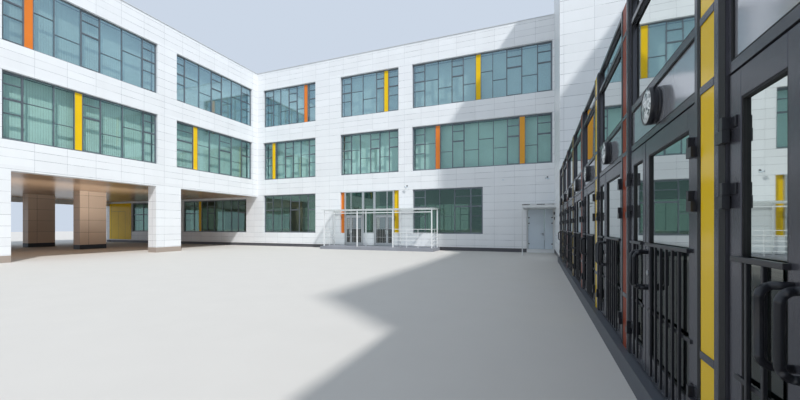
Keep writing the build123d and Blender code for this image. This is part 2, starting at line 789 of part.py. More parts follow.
def make_canopy():
    """The light steel canopy over the entrance and the railings at its side."""
    half = CANOPY_POST / 2
    foot = GALLERY_FLOOR
    middles = [CANOPY_FIRST + n * CANOPY_PITCH for n in range(CANOPY_BAYS + 1)]
    posts = []
    for x in middles:
        for y in (-CANOPY_FRONT, -CANOPY_BACK):
            post = block(x - half, x + half, y - half, y + half, foot, CANOPY_TOP - CANOPY_BEAM)
            posts.append(north_court * post)
    keep("entrance_canopy_posts", *posts)
    left, right = middles[0] - half, middles[-1] + half
    front, back = -CANOPY_FRONT - half, -CANOPY_BACK + half
    top = block(left, right, front, back, CANOPY_TOP - CANOPY_BEAM, CANOPY_TOP)
    for x, after in zip(middles, middles[1:]):
        hole = (x + half, after - half, front + CANOPY_POST, back - CANOPY_POST)
        top -= block(*hole, CANOPY_TOP - CANOPY_BEAM - PAST, CANOPY_TOP + PAST)
    beams = [north_court * top]
    low = CANOPY_TOP - CANOPY_BEAM - CANOPY_DROP
    beam = CANOPY_BEAM / 2
    for x, after in zip(middles, middles[1:]):
        y = -CANOPY_FRONT
        depths = (y - beam, y + beam)
        lower = block(x + half, after - half, *depths, low, low + CANOPY_BEAM)
        beams.append(north_court * lower)
    keep("entrance_canopy_beams", *beams)
    over = CANOPY_OVERHANG
    heights = (CANOPY_TOP, CANOPY_TOP + CANOPY_SHEET)
    sheet = block(left - over, right + over, front - over, -POST_FRONT, *heights)
    keep("entrance_canopy_roof", north_court * sheet)
    run = (middles[-2] + half, middles[-1] - half)
    bar = RAILING_BAR / 2
    bars = []
    for row in range(1, RAILING_ROWS + 1):
        z = foot + row * RAILING_HEIGHT / RAILING_ROWS
        heights = (z - RAILING_BAR, z)
        bars.append(block(*run, -CANOPY_FRONT - bar, -CANOPY_FRONT + bar, *heights))
        for x in (middles[0], middles[-1]):
            across = (-CANOPY_FRONT + half, -CANOPY_BACK - half)
            bars.append(block(x - bar, x + bar, *across, *heights))
    keep("entrance_railings", *[north_court * one for one in bars])


def make_service_door():
    """The plain door beside the stair block, its steel frame and its hood."""
    left, right = COURT_WIDTH - SERVICE_WIDTH, COURT_WIDTH
    place = north_court * Pos(0, SERVICE_RECESS, 0)
    foot = GALLERY_FLOOR
    jamb_left = door_post(left, left + SERVICE_JAMB, foot, SERVICE_HEAD, foot, False, True)
    jamb_right = door_post(right - SERVICE_JAMB, right, foot, SERVICE_HEAD, foot, True, False)
    bottom = SERVICE_HEAD - SERVICE_JAMB
    inner_left, inner_right = left + SERVICE_JAMB, right - SERVICE_JAMB
    head = block(inner_left, inner_right, -POST_FRONT, POST_BACK, bottom, SERVICE_HEAD)
    sill = Pos(0, -SERVICE_RECESS, 0) * block(left, right, 0, WALL, 0, foot)
    keep("service_door_frame", place * (jamb_left + jamb_right + head + sill))
    door_pair(
        "service_door",
        place,
        inner_left,
        inner_right,
        foot,
        bottom,
        SERVICE_NARROW,
        narrow_left=False,
        glazed=False,
    )
    start = left - SERVICE_CANOPY_SIDE
    reach, top = SERVICE_CANOPY_REACH, SERVICE_CANOPY_TOP
    hood = block(start, right, -reach, 0, top - SERVICE_CANOPY, top)
    post = SERVICE_POST
    hood += block(start, start + post, -reach, -reach + post, 0, top - SERVICE_CANOPY)
    keep("service_canopy", north_court * hood)


def make_copings():
    """Metal caps along the parapets, with an open joint between one length and the next."""
    out, cap, joint = COPING_EDGE, COPING, COPING_JOINT
    inner = WALL

    def strip(x0, x1, y0, y1, base=WALL_TOP):
        return block(x0, x1, y0, y1, base, base + cap)

    south, north = SOUTH_END - out, NORTH_OUT + out
    west_run = (WEST_OUT + inner + joint, WEST_FACE - inner - joint)
    east_run = (EAST_FACE + inner + joint, EAST_OUT - inner - joint)
    back_run = (WEST_OUT + inner + joint, EAST_OUT - inner - joint)
    court_run = (WEST_FACE - inner, GALLERY_FACE)
    caps = [
        strip(WEST_OUT - out, WEST_OUT + inner, south, north),
        strip(WEST_FACE - inner, WEST_FACE + out, south, NORTH_FACE - out - joint),
        strip(*west_run, south, SOUTH_END + inner),
        strip(*back_run, NORTH_OUT - inner, north),
        strip(EAST_OUT - inner, EAST_OUT + out, south, north),
        strip(EAST_FACE - out, EAST_FACE + inner, south, STAIR_SOUTH),
        strip(*east_run, south, SOUTH_END + inner),
        strip(*court_run, NORTH_FACE - out, NORTH_FACE + inner),
    ]
    left, right = GALLERY_FACE - out, EAST_FACE + WALL + out
    front, back = STAIR_SOUTH - out, NORTH_FACE + WALL + out
    sides = (front + out + inner + joint, back - out - inner - joint)
    caps += [
        strip(left, right, front, STAIR_SOUTH + inner, STAIR_TOP),
        strip(left, right, NORTH_FACE, back, STAIR_TOP),
        strip(left, GALLERY_FACE + inner, *sides, STAIR_TOP),
        strip(EAST_FACE, right, *sides, STAIR_TOP),
    ]
    keep("parapet_copings", *caps)


make_walls()
make_stair_block()
make_slabs()
make_passage()
make_windows()
make_strips()
make_gallery()
make_entrance()
make_canopy()
make_service_door()
make_copings()

os.makedirs("parts", exist_ok=True)
for name, shape in nodes.items():
    export_step(shape, f"parts/{name}.step")
print(len(nodes), "nodes")
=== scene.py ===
# %% [markdown]
# This lesson dresses a half-size model of a three-storey school. The walls, floors, doors and
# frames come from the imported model. Here they get their finishes, and the fine parts that are
# too small for the solids: window bars, blinds, door furniture, lamps and cladding joints.

# %% Load the model
import json
import math

import bmesh
import bpy
from mathutils import Matrix, Vector


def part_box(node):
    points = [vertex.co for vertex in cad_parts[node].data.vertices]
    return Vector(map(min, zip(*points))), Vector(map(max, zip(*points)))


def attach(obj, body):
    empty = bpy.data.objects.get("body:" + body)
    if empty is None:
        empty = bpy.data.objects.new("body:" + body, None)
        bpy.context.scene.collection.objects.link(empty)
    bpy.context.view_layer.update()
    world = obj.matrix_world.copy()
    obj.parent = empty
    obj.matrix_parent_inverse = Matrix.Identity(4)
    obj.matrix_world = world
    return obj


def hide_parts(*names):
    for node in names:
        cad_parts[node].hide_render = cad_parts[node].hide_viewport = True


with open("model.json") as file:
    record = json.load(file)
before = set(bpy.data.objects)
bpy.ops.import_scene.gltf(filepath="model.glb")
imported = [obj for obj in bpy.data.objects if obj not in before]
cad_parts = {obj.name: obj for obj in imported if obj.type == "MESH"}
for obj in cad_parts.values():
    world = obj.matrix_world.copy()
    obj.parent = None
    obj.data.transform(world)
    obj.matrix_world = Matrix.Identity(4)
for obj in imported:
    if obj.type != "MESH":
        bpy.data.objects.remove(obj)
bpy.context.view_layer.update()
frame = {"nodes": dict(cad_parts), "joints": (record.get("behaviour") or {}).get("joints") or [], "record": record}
scene = bpy.context.scene

# %% [markdown]
# The camera stands in the court beside the glazed gallery, at eye height, and looks a little
# to the left. The photograph's frame was cropped from above its horizon, so the lens is
# shifted instead of tilted, which keeps every upright edge upright.

# %% Camera
EYE = (4.450, -8.484, 0.718)
TURN = 21.33
FOCAL_PIXELS = 352.2
IMAGE_WIDTH, IMAGE_HEIGHT = 800, 400
HORIZON = 226.5
SENSOR_WIDTH = 36

camera_data = bpy.data.cameras.new("court_camera")
camera = bpy.data.objects.new("court_camera", camera_data)
scene.collection.objects.link(camera)
camera.location = EYE
camera.rotation_euler = (math.radians(90), 0, math.radians(TURN))
camera_data.sensor_width = SENSOR_WIDTH
camera_data.lens = FOCAL_PIXELS * SENSOR_WIDTH / IMAGE_WIDTH
camera_data.shift_y = (HORIZON - IMAGE_HEIGHT / 2) / IMAGE_WIDTH
camera_data.clip_start = 0.02
camera_data.clip_end = 500
scene.camera = camera
print("lens", round(camera_data.lens, 2), "mm")

# %% [markdown]
# A few helpers carry the whole lesson. Two turn a hex colour into the linear values that a
# shader wants, as it is or made darker or lighter by a share. Two add a shader node and set
# or link its inputs, and one starts a material. The last turns a bmesh into a piece that
# rides on a body of the model.

# %% Helpers
BUILDING = "building"


def linear(hex_colour):
    """An sRGB hex colour as linear red, green, blue and alpha."""
    values = [int(hex_colour[n : n + 2], 16) / 255 for n in (1, 3, 5)]
    return [v / 12.92 if v <= 0.04045 else ((v + 0.055) / 1.055) ** 2.4 for v in values] + [1]


def toned(hex_colour, share):
    """A share of a colour's light, in linear values."""
    return [min(1, value * share) for value in linear(hex_colour)[:3]] + [1]


def wire(node, inputs):
    """Sets or links a node's inputs. A node among the values gives its first live output."""
    for key, value in inputs.items():
        if isinstance(value, bpy.types.Node):
            value = next(output for output in value.outputs if output.enabled)
        if isinstance(value, bpy.types.NodeSocket):
            node.id_data.links.new(value, node.inputs[key])
        else:
            node.inputs[key].default_value = value
    return node


def add(tree, kind, *inputs, **settings):
    """A shader node of a kind, with its settings, and its inputs by name or in their order."""
    node = tree.nodes.new("ShaderNode" + kind)
    for key, value in settings.items():
        setattr(node, key, value)
    if inputs and isinstance(inputs[0], dict):
        return wire(node, inputs[0])
    live = [number for number, socket in enumerate(node.inputs) if socket.enabled]
    return wire(node, dict(zip(live, inputs)))


def start_material(name):
    """A new material, its node tree and its Principled shader."""
    material = bpy.data.materials.new(name)
    material.use_nodes = True
    return material, material.node_tree, material.node_tree.nodes["Principled BSDF"]


def piece(name, mesh, body=BUILDING, replaces=(), materials=()):
    """A finished mesh as a piece that moves with a body."""
    data = bpy.data.meshes.new(name)
    bmesh.ops.recalc_face_normals(mesh, faces=mesh.faces)
    mesh.to_mesh(data)
    mesh.free()
    obj = bpy.data.objects.new(name, data)
    scene.collection.objects.link(obj)
    for material in materials:
        data.materials.append(material)
    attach(obj, body)
    if replaces:
        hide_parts(*replaces)
    return obj


print("helpers ready")

# %% [markdown]
# Nearly every small part of a building is a straight bar of metal. A bar is a unit cube that
# is stretched and moved into place, and all bars of a piece get their edges eased together at
# the end. That costs few faces and still gives the thin highlights of real sections.


# %% Bars, rods and bends
def faces_of(verts):
    """The faces that touch some vertices."""
    return {face for vert in verts for face in vert.link_faces}


def bar(mesh, low, high, place=None, index=0):
    """A straight bar between two corners, in a place."""
    low, high = Vector(low), Vector(high)
    matrix = Matrix.Translation((low + high) / 2) @ Matrix.Diagonal((*(high - low), 1))
    made = bmesh.ops.create_cube(mesh, size=1, matrix=(place or Matrix()) @ matrix)
    for face in faces_of(made["verts"]):
        face.material_index = index
    return made["verts"]


def rod(mesh, start, end, radius, place=None, segments=12, index=0):
    """A round rod between two points."""
    start, end = Vector(start), Vector(end)
    along = end - start
    turn = along.to_track_quat("Z", "Y").to_matrix().to_4x4()
    matrix = Matrix.Translation((start + end) / 2) @ turn
    made = bmesh.ops.create_cone(
        mesh,
        cap_ends=True,
        segments=segments,
        radius1=radius,
        radius2=radius,
        depth=along.length,
        matrix=(place or Matrix()) @ matrix,
    )
    for face in faces_of(made["verts"]):
        face.material_index = index
        face.smooth = len(face.verts) == 4


def ring(mesh, low, high, face, place, index=0):
    """Four bars round an opening, inside the box from low to high, each a face wide."""
    (x0, y0, z0), (x1, y1, z1) = low, high
    bar(mesh, (x0, y0, z0), (x0 + face, y1, z1), place, index)
    bar(mesh, (x1 - face, y0, z0), (x1, y1, z1), place, index)
    bar(mesh, (x0 + face, y0, z0), (x1 - face, y1, z0 + face), place, index)
    bar(mesh, (x0 + face, y0, z1 - face), (x1 - face, y1, z1), place, index)


def ease(mesh, width, segments=1, edges=None):
    """Takes the sharpness off some edges, or off every hard edge of a mesh of bars."""
    if edges is None:
        edges = [e for e in mesh.edges if len(e.link_faces) == 2 and e.calc_face_angle() > 1.2]
    bmesh.ops.bevel(
        mesh,
        geom=edges,
        offset=width,
        offset_type="OFFSET",
        affect="EDGES",
        segments=segments,
        profile=0.5,
        material=-1,
    )


def facing(x, y, angle):
    """The place of a facade: x runs along it from its left end, y goes into the building."""
    return Matrix.Translation((x, y, 0)) @ Matrix.Rotation(math.radians(angle), 4, "Z")


print("bars and rods ready")

# %% [markdown]
# White coil-coated aluminium panels cover the whole building. They are smooth and slightly
# glossy, and what the eye reads is the fine dark joint round each one. The joints are drawn
# by the material: rows of 229 mm between sill and head and of 172 mm under the sills, as
# measured and halved, and upright joints every 550 mm, of which some bands skip every other.
# Each panel also gets its own slight tone, because no two coils match.

# %% Panel cladding
STOREY = 1.95
SILL_LEVEL = 0.5
ROW_OVER, ROW_UNDER = 0.2285, 0.172
PANEL_WIDTH = 0.55
JOINT, JOINT_DEPTH = 0.006, 0.004
UPRIGHT_SHADE = 0.45


def facade_axes(tree):
    """How far along the wall a point is, how high, and how much its face looks up."""
    place = add(tree, "TexCoord").outputs
    x, y, z = add(tree, "SeparateXYZ", place["Object"]).outputs
    across, _, upward = add(tree, "SeparateXYZ", place["Normal"]).outputs
    across = add(tree, "Math", across, operation="ABSOLUTE")
    faces_x = add(tree, "Math", across, 0.5, operation="GREATER_THAN")
    along = add(tree, "Mix", faces_x, x, y)
    return along, z, upward, place["Object"]


def near_line(tree, value, pitch, width):
    """1 within half a width of a multiple of the pitch, else 0, and the cell's number."""
    scaled = add(tree, "Math", value, pitch, operation="DIVIDE")
    cell = add(tree, "Math", scaled, operation="FLOOR")
    share = add(tree, "Math", scaled, operation="FRACT")
    rest = add(tree, "Math", 1.0, share, operation="SUBTRACT")
    edge = add(tree, "Math", share, rest, operation="MINIMUM")
    return add(tree, "Math", edge, width / pitch / 2, operation="LESS_THAN"), cell


def relief_of(tree, lines):
    """The bump of joints that lie a little deeper than their sheets."""
    raised = add(tree, "Math", 1.0, lines, operation="SUBTRACT")
    return add(tree, "Bump", {"Height": raised, "Strength": 0.5, "Distance": JOINT_DEPTH})


def panel_joints(tree, along, height, upward):
    """The lines between the panels, the upright faces that have them and each panel's cell."""
    storeys = add(tree, "Math", height, STOREY, operation="DIVIDE")
    storey = add(tree, "Math", storeys, operation="FLOOR")
    in_storey = add(tree, "Math", storeys, operation="FRACT")
    level = add(tree, "Math", in_storey, STOREY, operation="MULTIPLY")
    over_sill = add(tree, "Math", level, SILL_LEVEL, operation="SUBTRACT")
    above = add(tree, "Math", over_sill, 0.0, operation="GREATER_THAN")
    over_line, over_cell = near_line(tree, over_sill, ROW_OVER, JOINT)
    under_line, under_cell = near_line(tree, over_sill, ROW_UNDER, JOINT)
    level_line = add(tree, "Mix", above, under_line, over_line)
    row = add(tree, "Mix", above, under_cell, over_cell)
    upright, column = near_line(tree, along, PANEL_WIDTH, JOINT)
    # Where a band skips every other upright joint, its panels are twice as wide.
    number = add(tree, "Math", column, storey, operation="ADD")
    parity = add(tree, "Math", number, 2.0, operation="MODULO")
    odd = add(tree, "Math", parity, operation="ABSOLUTE")
    skip = add(tree, "Math", odd, above, operation="MULTIPLY")
    wide_column = add(tree, "Math", column, skip, operation="SUBTRACT")
    panels = add(tree, "Math", along, PANEL_WIDTH, operation="DIVIDE")
    share = add(tree, "Math", panels, operation="FRACT")
    left_edge = add(tree, "Math", share, 0.5, operation="LESS_THAN")
    dropped = add(tree, "Math", skip, left_edge, operation="MULTIPLY")
    dropped = add(tree, "Math", upright, dropped, operation="MULTIPLY")
    upright = add(tree, "Math", upright, dropped, operation="SUBTRACT")
    # A level joint is darkest where a sheet's lip casts its shade, so the line is broken.
    spread = add(tree, "CombineXYZ", along, row, storey)
    lip = add(tree, "TexNoise", {"Vector": spread, "Scale": 2.6, "Detail": 1.0})
    shade = {"Value": lip, "From Min": 0.42, "From Max": 0.6, "To Min": 0.35}
    shade = add(tree, "MapRange", shade)
    level_line = add(tree, "Math", level_line, shade, operation="MULTIPLY")
    upright = add(tree, "Math", upright, UPRIGHT_SHADE, operation="MULTIPLY")
    lines = add(tree, "Math", level_line, upright, operation="MAXIMUM")
    upward = add(tree, "Math", upward, operation="ABSOLUTE")
    flat = add(tree, "Math", upward, 0.5, operation="LESS_THAN")
    lines = add(tree, "Math", lines, flat, operation="MULTIPLY")
    return lines, flat, add(tree, "CombineXYZ", wide_column, row, storey)


def cladding(name, panel, joint, plinth, plinth_top, roughness=0.32, tone=0.05):
    """Coated sheet-metal panels with open joints, over a stone plinth."""
    material, tree, shader = start_material(name)
    along, height, upward, place = facade_axes(tree)
    lines, flat, cell = panel_joints(tree, along, height, upward)
    noise = add(tree, "TexWhiteNoise", cell)
    tint = add(tree, "Mix", noise, toned(panel, 1 - tone), linear(panel), data_type="RGBA")
    # Rain leaves faint upright streaks, so the tone also drifts with a stretched noise.
    stretched = add(tree, "Mapping", {"Vector": place, "Scale": (2.2, 2.2, 0.25)})
    streak = add(tree, "TexNoise", {"Vector": stretched, "Scale": 1.4, "Detail": 4.0})
    fade = {"Value": streak, "From Min": 0.45, "From Max": 0.8, "To Max": 0.06}
    tones = {"Factor": add(tree, "MapRange", fade), "A": tint, "B": linear("#8f8c86")}
    soiled = add(tree, "Mix", tones, data_type="RGBA")
    colour = add(tree, "Mix", lines, soiled, linear(joint), data_type="RGBA")
    low_band = add(tree, "Math", height, plinth_top, operation="LESS_THAN")
    low_band = add(tree, "Math", low_band, flat, operation="MULTIPLY")
    colour = add(tree, "Mix", low_band, colour, linear(plinth), data_type="RGBA")
    gloss = {"Value": noise, "To Min": roughness, "To Max": roughness + 0.12}
    gloss = add(tree, "MapRange", gloss)
    wire(shader, {"Base Color": colour, "Roughness": gloss, "Normal": relief_of(tree, lines)})
    return material


WHITE, JOINTS = "#eceeef", "#777d83"
white_panels = cladding("white_coated_aluminium_panels", WHITE, JOINTS, "#55555a", 0.104)
pier_panels = cladding("white_panels_on_stone_base", WHITE, JOINTS, "#a3968b", 0.14)
print("cladding", white_panels.name, pier_panels.name)

# %% [markdown]
# The columns and the ceiling of the passage are clad in taupe sheets with even joints, so one
# plainer material serves both: lines at a pitch along the wall and at a pitch upwards, a
# slight change of tone from sheet to sheet and a dark foot that hides splashes. The ceiling's
# sheets are strips 100 mm wide that run along the wing, so it has no second set of lines.


# %% Sheets with even joints
UPRIGHT_JOINT, LEVEL_JOINT = 0.008, 0.007
# Each row's numbers start this far on, so that sheets above one another differ in tone.
ROW_STEP = 7.3


def boarded(name, panel, joint, across, up=0.0, start=0.0, foot=0.0, roughness=0.4, tone=0.1):
    """Sheets with joints at even pitches, from a start along the wall, over a dark foot."""
    material, tree, shader = start_material(name)
    along, height, _, place = facade_axes(tree)
    along = add(tree, "Math", along, start, operation="SUBTRACT")
    lines, cell = near_line(tree, along, across, UPRIGHT_JOINT)
    if up:
        over_foot = add(tree, "Math", height, foot, operation="SUBTRACT")
        level_line, row = near_line(tree, over_foot, up, LEVEL_JOINT)
        lines = add(tree, "Math", lines, level_line, operation="MAXIMUM")
        cell = add(tree, "Math", row, ROW_STEP, cell, operation="MULTIPLY_ADD")
    noise = add(tree, "TexWhiteNoise", cell, noise_dimensions="1D")
    cloud = add(tree, "TexNoise", {"Vector": place, "Scale": 2.0, "Detail": 6.0})
    blend = add(tree, "Math", noise, cloud, operation="MULTIPLY")
    colour = add(tree, "Mix", blend, linear(panel), toned(panel, 1 - tone * 2), data_type="RGBA")
    colour = add(tree, "Mix", lines, colour, linear(joint), data_type="RGBA")
    if foot:
        band = add(tree, "Math", height, foot, operation="LESS_THAN")
        colour = add(tree, "Mix", band, colour, linear("#262c36"), data_type="RGBA")
    relief = relief_of(tree, lines)
    wire(shader, {"Base Color": colour, "Roughness": roughness, "Normal": relief})
    return material


taupe_panels = boarded("taupe_column_panels", "#cfb7a1", "#6a5c50", 0.577, 0.39, 0.082, 0.14)
soffit_strips = boarded("taupe_ceiling_strips", "#b39578", "#55483c", 0.1, roughness=0.24)
print("boards", taupe_panels.name, soffit_strips.name)

# %% [markdown]
# The other finishes are plainer, so one function makes a coated or bare metal, plastic or
# stone from a colour, a roughness and a fine grain. Powder coat has a faint orange peel of
# about 1 mm, anodised aluminium a fine satin grain, and cast concrete cloudy tones and pores.
# The grain's size is in millimetres of the model.


# %% Plain finishes
def finish(
    name, colour, roughness, metallic=0.0, grain=1.5, drift=0.06, relief=0.1, specular=0.5
):
    """A surface with a slow drift of tone and a fine relief of a given grain in millimetres."""
    material, tree, shader = start_material(name)
    place = add(tree, "TexCoord").outputs["Object"]
    slow = add(tree, "TexNoise", {"Vector": place, "Scale": 3.0, "Detail": 5.0})
    tones = {"Factor": slow, "A": toned(colour, 1 - 2 * drift), "B": toned(colour, 1 + drift)}
    tint = add(tree, "Mix", tones, data_type="RGBA")
    fine = add(tree, "TexNoise", {"Vector": place, "Scale": 1000 / grain / 2, "Detail": 2.0})
    gloss = {"Value": fine, "To Min": max(0.02, roughness - 0.06), "To Max": roughness + 0.06}
    bump = {"Height": fine, "Strength": relief, "Distance": grain / 4000}
    wire(shader, {"Base Color": tint, "Metallic": metallic, "Specular IOR Level": specular})
    wire(shader, {"Roughness": add(tree, "MapRange", gloss), "Normal": add(tree, "Bump", bump)})
    return material


# Anodised sections are a satin metal, grey or nearly black, that lightens at a slant.
bar_grey = finish("grey_anodised_window_bars", "#737b82", 0.34, 0.5, 1.2, 0.05)
anodised = finish("satin_anodised_aluminium", "#b9bec1", 0.34, 0.6, 1.2, 0.04)
graphite = finish("graphite_satin_anodised_aluminium", "#56565d", 0.24, 0.5, 1.2, 0.05)
coping_metal = finish("coated_coping", "#d3d6d8", 0.35, 0.2, 1.2, 0.04)
stainless = finish("brushed_stainless_steel", "#c9cacb", 0.25, 1.0, 1.0, 0.03)
# Enamel is smooth and deep in colour. The matt kinds throw back little of the bright court.
dark_enamel = finish("dark_handle_enamel", "#232429", 0.3, 0.0, 1.5, 0.05, 0.01)
spandrel_grey = finish("grey_enamelled_spandrel", "#c2c4ca", 0.1, 0.6, 1.2, 0.14, 0.03)
red = finish("red_enamelled_aluminium", "#8e3617", 0.3, 0.0, 1.2, 0.06, 0.04, 0.06)
yellow = finish("yellow_enamelled_aluminium", "#edc31c", 0.14, 0.0, 1.2, 0.05, 0.04, 0.18)
orange = finish("orange_enamelled_aluminium", "#e37c22", 0.18, 0.0, 1.2, 0.06, 0.04)
amber = finish("amber_enamelled_aluminium", "#e8a012", 0.18, 0.0, 1.2, 0.06, 0.04)
# Powder coat and paint are duller, with the faint peel of a sprayed coat.
white_steel = finish("white_powder_coated_steel", "#e6e8e8", 0.4, 0.0, 1.5, 0.04)
door_grey = finish("pale_grey_door_paint", "#d0dbe3", 0.42, 0.0, 1.5, 0.04)
render_white = finish("white_roof_edge", "#dcdedd", 0.5, 0.0, 2.0, 0.05)
# Rubber, concrete and stone are matt, and stone and concrete are cloudy as well.
rubber = finish("black_rubber_gasket", "#121315", 0.65, 0.0, 1.0, 0.08)
concrete = finish("cast_concrete", "#8f9299", 0.85, 0.0, 4.0, 0.12, 0.4)
dark_stone = finish("honed_dark_stone_floor", "#53575e", 0.5, 0.0, 3.0, 0.08, 0.1)

# The lens is pressed in small facets, about 12 mm wide here. Each facet's colour is set light or dark at random:
# painted glints and painted shade for the light that real facets catch.
LENS_FACET = 0.012
lens_white = finish("moulded_lamp_lens", "#dfe2e2", 0.1, 0.0, 9.0, 0.1, 0.9)
facets = lens_white.node_tree
spot = add(facets, "TexCoord").outputs["Object"]
cells = add(facets, "TexVoronoi", {"Vector": spot, "Scale": 1 / LENS_FACET}).outputs["Color"]
facet_glint_and_shade = add(facets, "SeparateColor", cells)
tones = add(facets, "Mix", facet_glint_and_shade, linear("#5f6668"), linear("#f2f4f4"), data_type="RGBA")
wire(facets.nodes["Principled BSDF"], {"Base Color": tones})
print("finishes", len(bpy.data.materials))

# %% [markdown]
# Solar-control glass carries a metal-oxide coat. Straight on it shows some teal of its own and
# lets light through, and at a slant it becomes a mirror, which is how the court's far walls
# stand in the gallery's doors. True refraction would trap the light of small lamps in Blender,
# so a Mix Shader blends a tinted see-through sheet with a glossy one, and Layer Weight turns
# the blend towards the mirror as the angle grows. Only the outer face counts, because the
# sheet is a closed solid and would otherwise mirror twice.


# %% Glass
def glazing(name, body, tint, straight_on, grazing, coat=0.5, wave=0.15, painted_dim_reflection_below=0.0):
    """A coated sheet: a share of glossy tint over what shows through, more of it at a slant."""
    material, tree, shader = start_material(name)
    place = add(tree, "TexCoord").outputs["Object"]
    slow = add(tree, "TexNoise", {"Vector": place, "Scale": 0.9, "Detail": 2.0})
    colour = add(tree, "Mix", slow, toned(body, 0.8), linear(body), data_type="RGBA")
    ripple = add(tree, "TexNoise", {"Vector": place, "Scale": 2.5, "Detail": 0.0})
    bump = add(tree, "Bump", {"Height": ripple, "Strength": wave, "Distance": 0.01})
    wire(shader, {"Base Color": colour, "Metallic": coat, "Roughness": 0.02, "Normal": bump})
    slant = add(tree, "LayerWeight", {"Blend": 0.5}).outputs["Facing"]
    share = add(tree, "MapRange", {"Value": slant, "To Min": straight_on, "To Max": grazing})
    inside = add(tree, "NewGeometry").outputs["Backfacing"]
    outside = add(tree, "Math", 1.0, inside, operation="SUBTRACT")
    share = add(tree, "Math", share, outside, operation="MULTIPLY")
    if painted_dim_reflection_below:
        # Below this height the glass mirrors less: a painted darker reflection, for the dark ground that real door
        # glass mirrors low down.
        height = add(tree, "SeparateXYZ", place).outputs["Z"]
        over = {"Value": height, "From Min": painted_dim_reflection_below - 0.02, "From Max": painted_dim_reflection_below + 0.02}
        less = add(tree, "MapRange", {**over, "To Min": 0.22})
        share = add(tree, "Math", share, less, operation="MULTIPLY")
    through = add(tree, "BsdfTransparent", linear(tint))
    mixed = add(tree, "MixShader", share, through, shader)
    wire(tree.nodes["Material Output"], {"Surface": mixed})
    return material


# The bodies tint the mirror: partly the coat's own teal, partly a painted blue of the sky that the pale backdrop
# lacks. The top storey's glass is a bluer copy that mirrors more, a painted reflection of the sky.
top_glass_painted_sky = glazing("top_storey_glass_painted_sky", "#c8ecfb", "#f6fcfb", 0.3, 0.95, 0.9)
teal_glass = glazing("teal_solar_glass", "#a8d8e2", "#f5fdfb", 0.09, 0.6, 0.85)
ground_glass = glazing("green_grey_glass", "#93b3a7", "#c9d6cd", 0.24, 1.0, 0.9)
dark_glass = glazing("mirrored_door_glass", "#e6ece8", "#9fb0ae", 0.25, 1.35, 1.0, 0.06, 0.65)
canopy_sheet = glazing("opal_polycarbonate_sheet", "#eef1f1", "#f3f7f7", 0.22, 0.8, 0.0, 0.3)
print("glass", top_glass_painted_sky.name, teal_glass.name, ground_glass.name, dark_glass.name)

# %% [markdown]
# The panes in the model say where every window is. Each pane is read as a box, matched to the
# outer wall that it is nearest to, and described along that wall from its left end as seen
# from outside, so that bars and blinds can be built for all of them in the same way.

# %% Read the windows
PANE_DEPTHS = (0.05, 0.2)
PLANES = {
    # facade: the axis that its wall stands across, where on it, and which way it is turned
    "west_court": (0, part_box("west_side_walls")[1].x, 90),
    "west_street": (0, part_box("west_side_walls")[0].x, 270),
    "east_outer": (0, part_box("east_side_walls")[1].x, 90),
    "east_court": (0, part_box("east_side_walls")[0].x, 270),
    "south_ends": (1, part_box("end_walls")[0].y, 0),
    "north_court": (1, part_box("north_court_wall")[0].y, 0),
    "north_back": (1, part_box("north_back_wall")[1].y, 180),
}


def box_of(points):
    """The lowest and highest corner of the box round some points."""
    points = list(points)
    return [Vector([pick(p[n] for p in points) for n in range(3)]) for pick in (min, max)]


def loose_boxes(node):
    """The lowest and highest corner of each loose solid of a CAD node."""
    mesh = bmesh.new()
    mesh.from_mesh(frame["nodes"][node].data)
    bmesh.ops.remove_doubles(mesh, verts=mesh.verts, dist=1e-5)
    left = set(mesh.verts)
    boxes = []
    while left:
        todo = [left.pop()]
        found = []
        while todo:
            vert = todo.pop()
            found.append(vert.co.copy())
            for edge in vert.link_edges:
                other = edge.other_vert(vert)
                if other in left:
                    left.remove(other)
                    todo.append(other)
        boxes.append(box_of(found))
    mesh.free()
    return boxes


def read_windows(node):
    """Each pane as its facade, its place, its width, its sill and its head."""
    found = []
    for low, high in loose_boxes(node):
        size, middle = high - low, (low + high) / 2
        axis = 0 if size.x < size.y else 1
        name, (_, plane, angle) = min(
            ((n, p) for n, p in PLANES.items() if p[0] == axis),
            key=lambda item: abs(item[1][1] - middle[axis]),
        )
        if not PANE_DEPTHS[0] < abs(plane - middle[axis]) <= PANE_DEPTHS[1]:
            continue
        start = {
            0: (low.x, plane),
            90: (plane, low.y),
            180: (high.x, plane),
            270: (plane, high.y),
        }[angle]
        window = {"facade": name, "start": start, "place": facing(*start, angle)}
        window.update(width=size[1 - axis], sill=low.z, head=high.z)
        found.append(window)
    return found


windows = read_windows("window_glass")
for facade_name, (_, _, angle) in PLANES.items():
    turned_back = Matrix.Rotation(-math.radians(angle), 4, "Z")
    for storey in range(3):
        row = [w for w in windows if w["facade"] == facade_name and w["sill"] // STOREY == storey]
        row.sort(key=lambda w: (turned_back @ Vector((*w["start"], 0))).x)
        for number, window in enumerate(row, 1):
            window.update(storey=storey, key=(facade_name, storey, number))
print("windows", len(windows), sorted({w["facade"] for w in windows}))

# %% [markdown]
# Measured again on the photograph, the upper windows of the north wall over the entrance and
# beside the stair block are wider than the solids have them. So the upper wall is made again
# round the wider openings, as a builder would set it out: a grid is drawn on its face along
# every jamb, sill and head, the cells of the openings are left out, and what remains is
# drawn out to the wall's thickness.

# %% The north wall's upper storeys
WIDER = {2: (-1.76, 0.35), 3: (0.81, 4.825)}
FRAME_FACE = 0.03
wall_low, wall_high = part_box("north_court_wall")
openings = []
for window in windows:
    if window["facade"] == "north_court" and window["storey"] > 0:
        left = window["start"][0] - FRAME_FACE
        right = left + window["width"] + 2 * FRAME_FACE
        left, right = WIDER.get(window["key"][2], (left, right))
        window["start"] = (left + FRAME_FACE, wall_low.y)
        window["place"] = facing(*window["start"], 0)
        window["width"] = right - left - 2 * FRAME_FACE
        openings.append((left, right, window["sill"] - FRAME_FACE, window["head"] + FRAME_FACE))

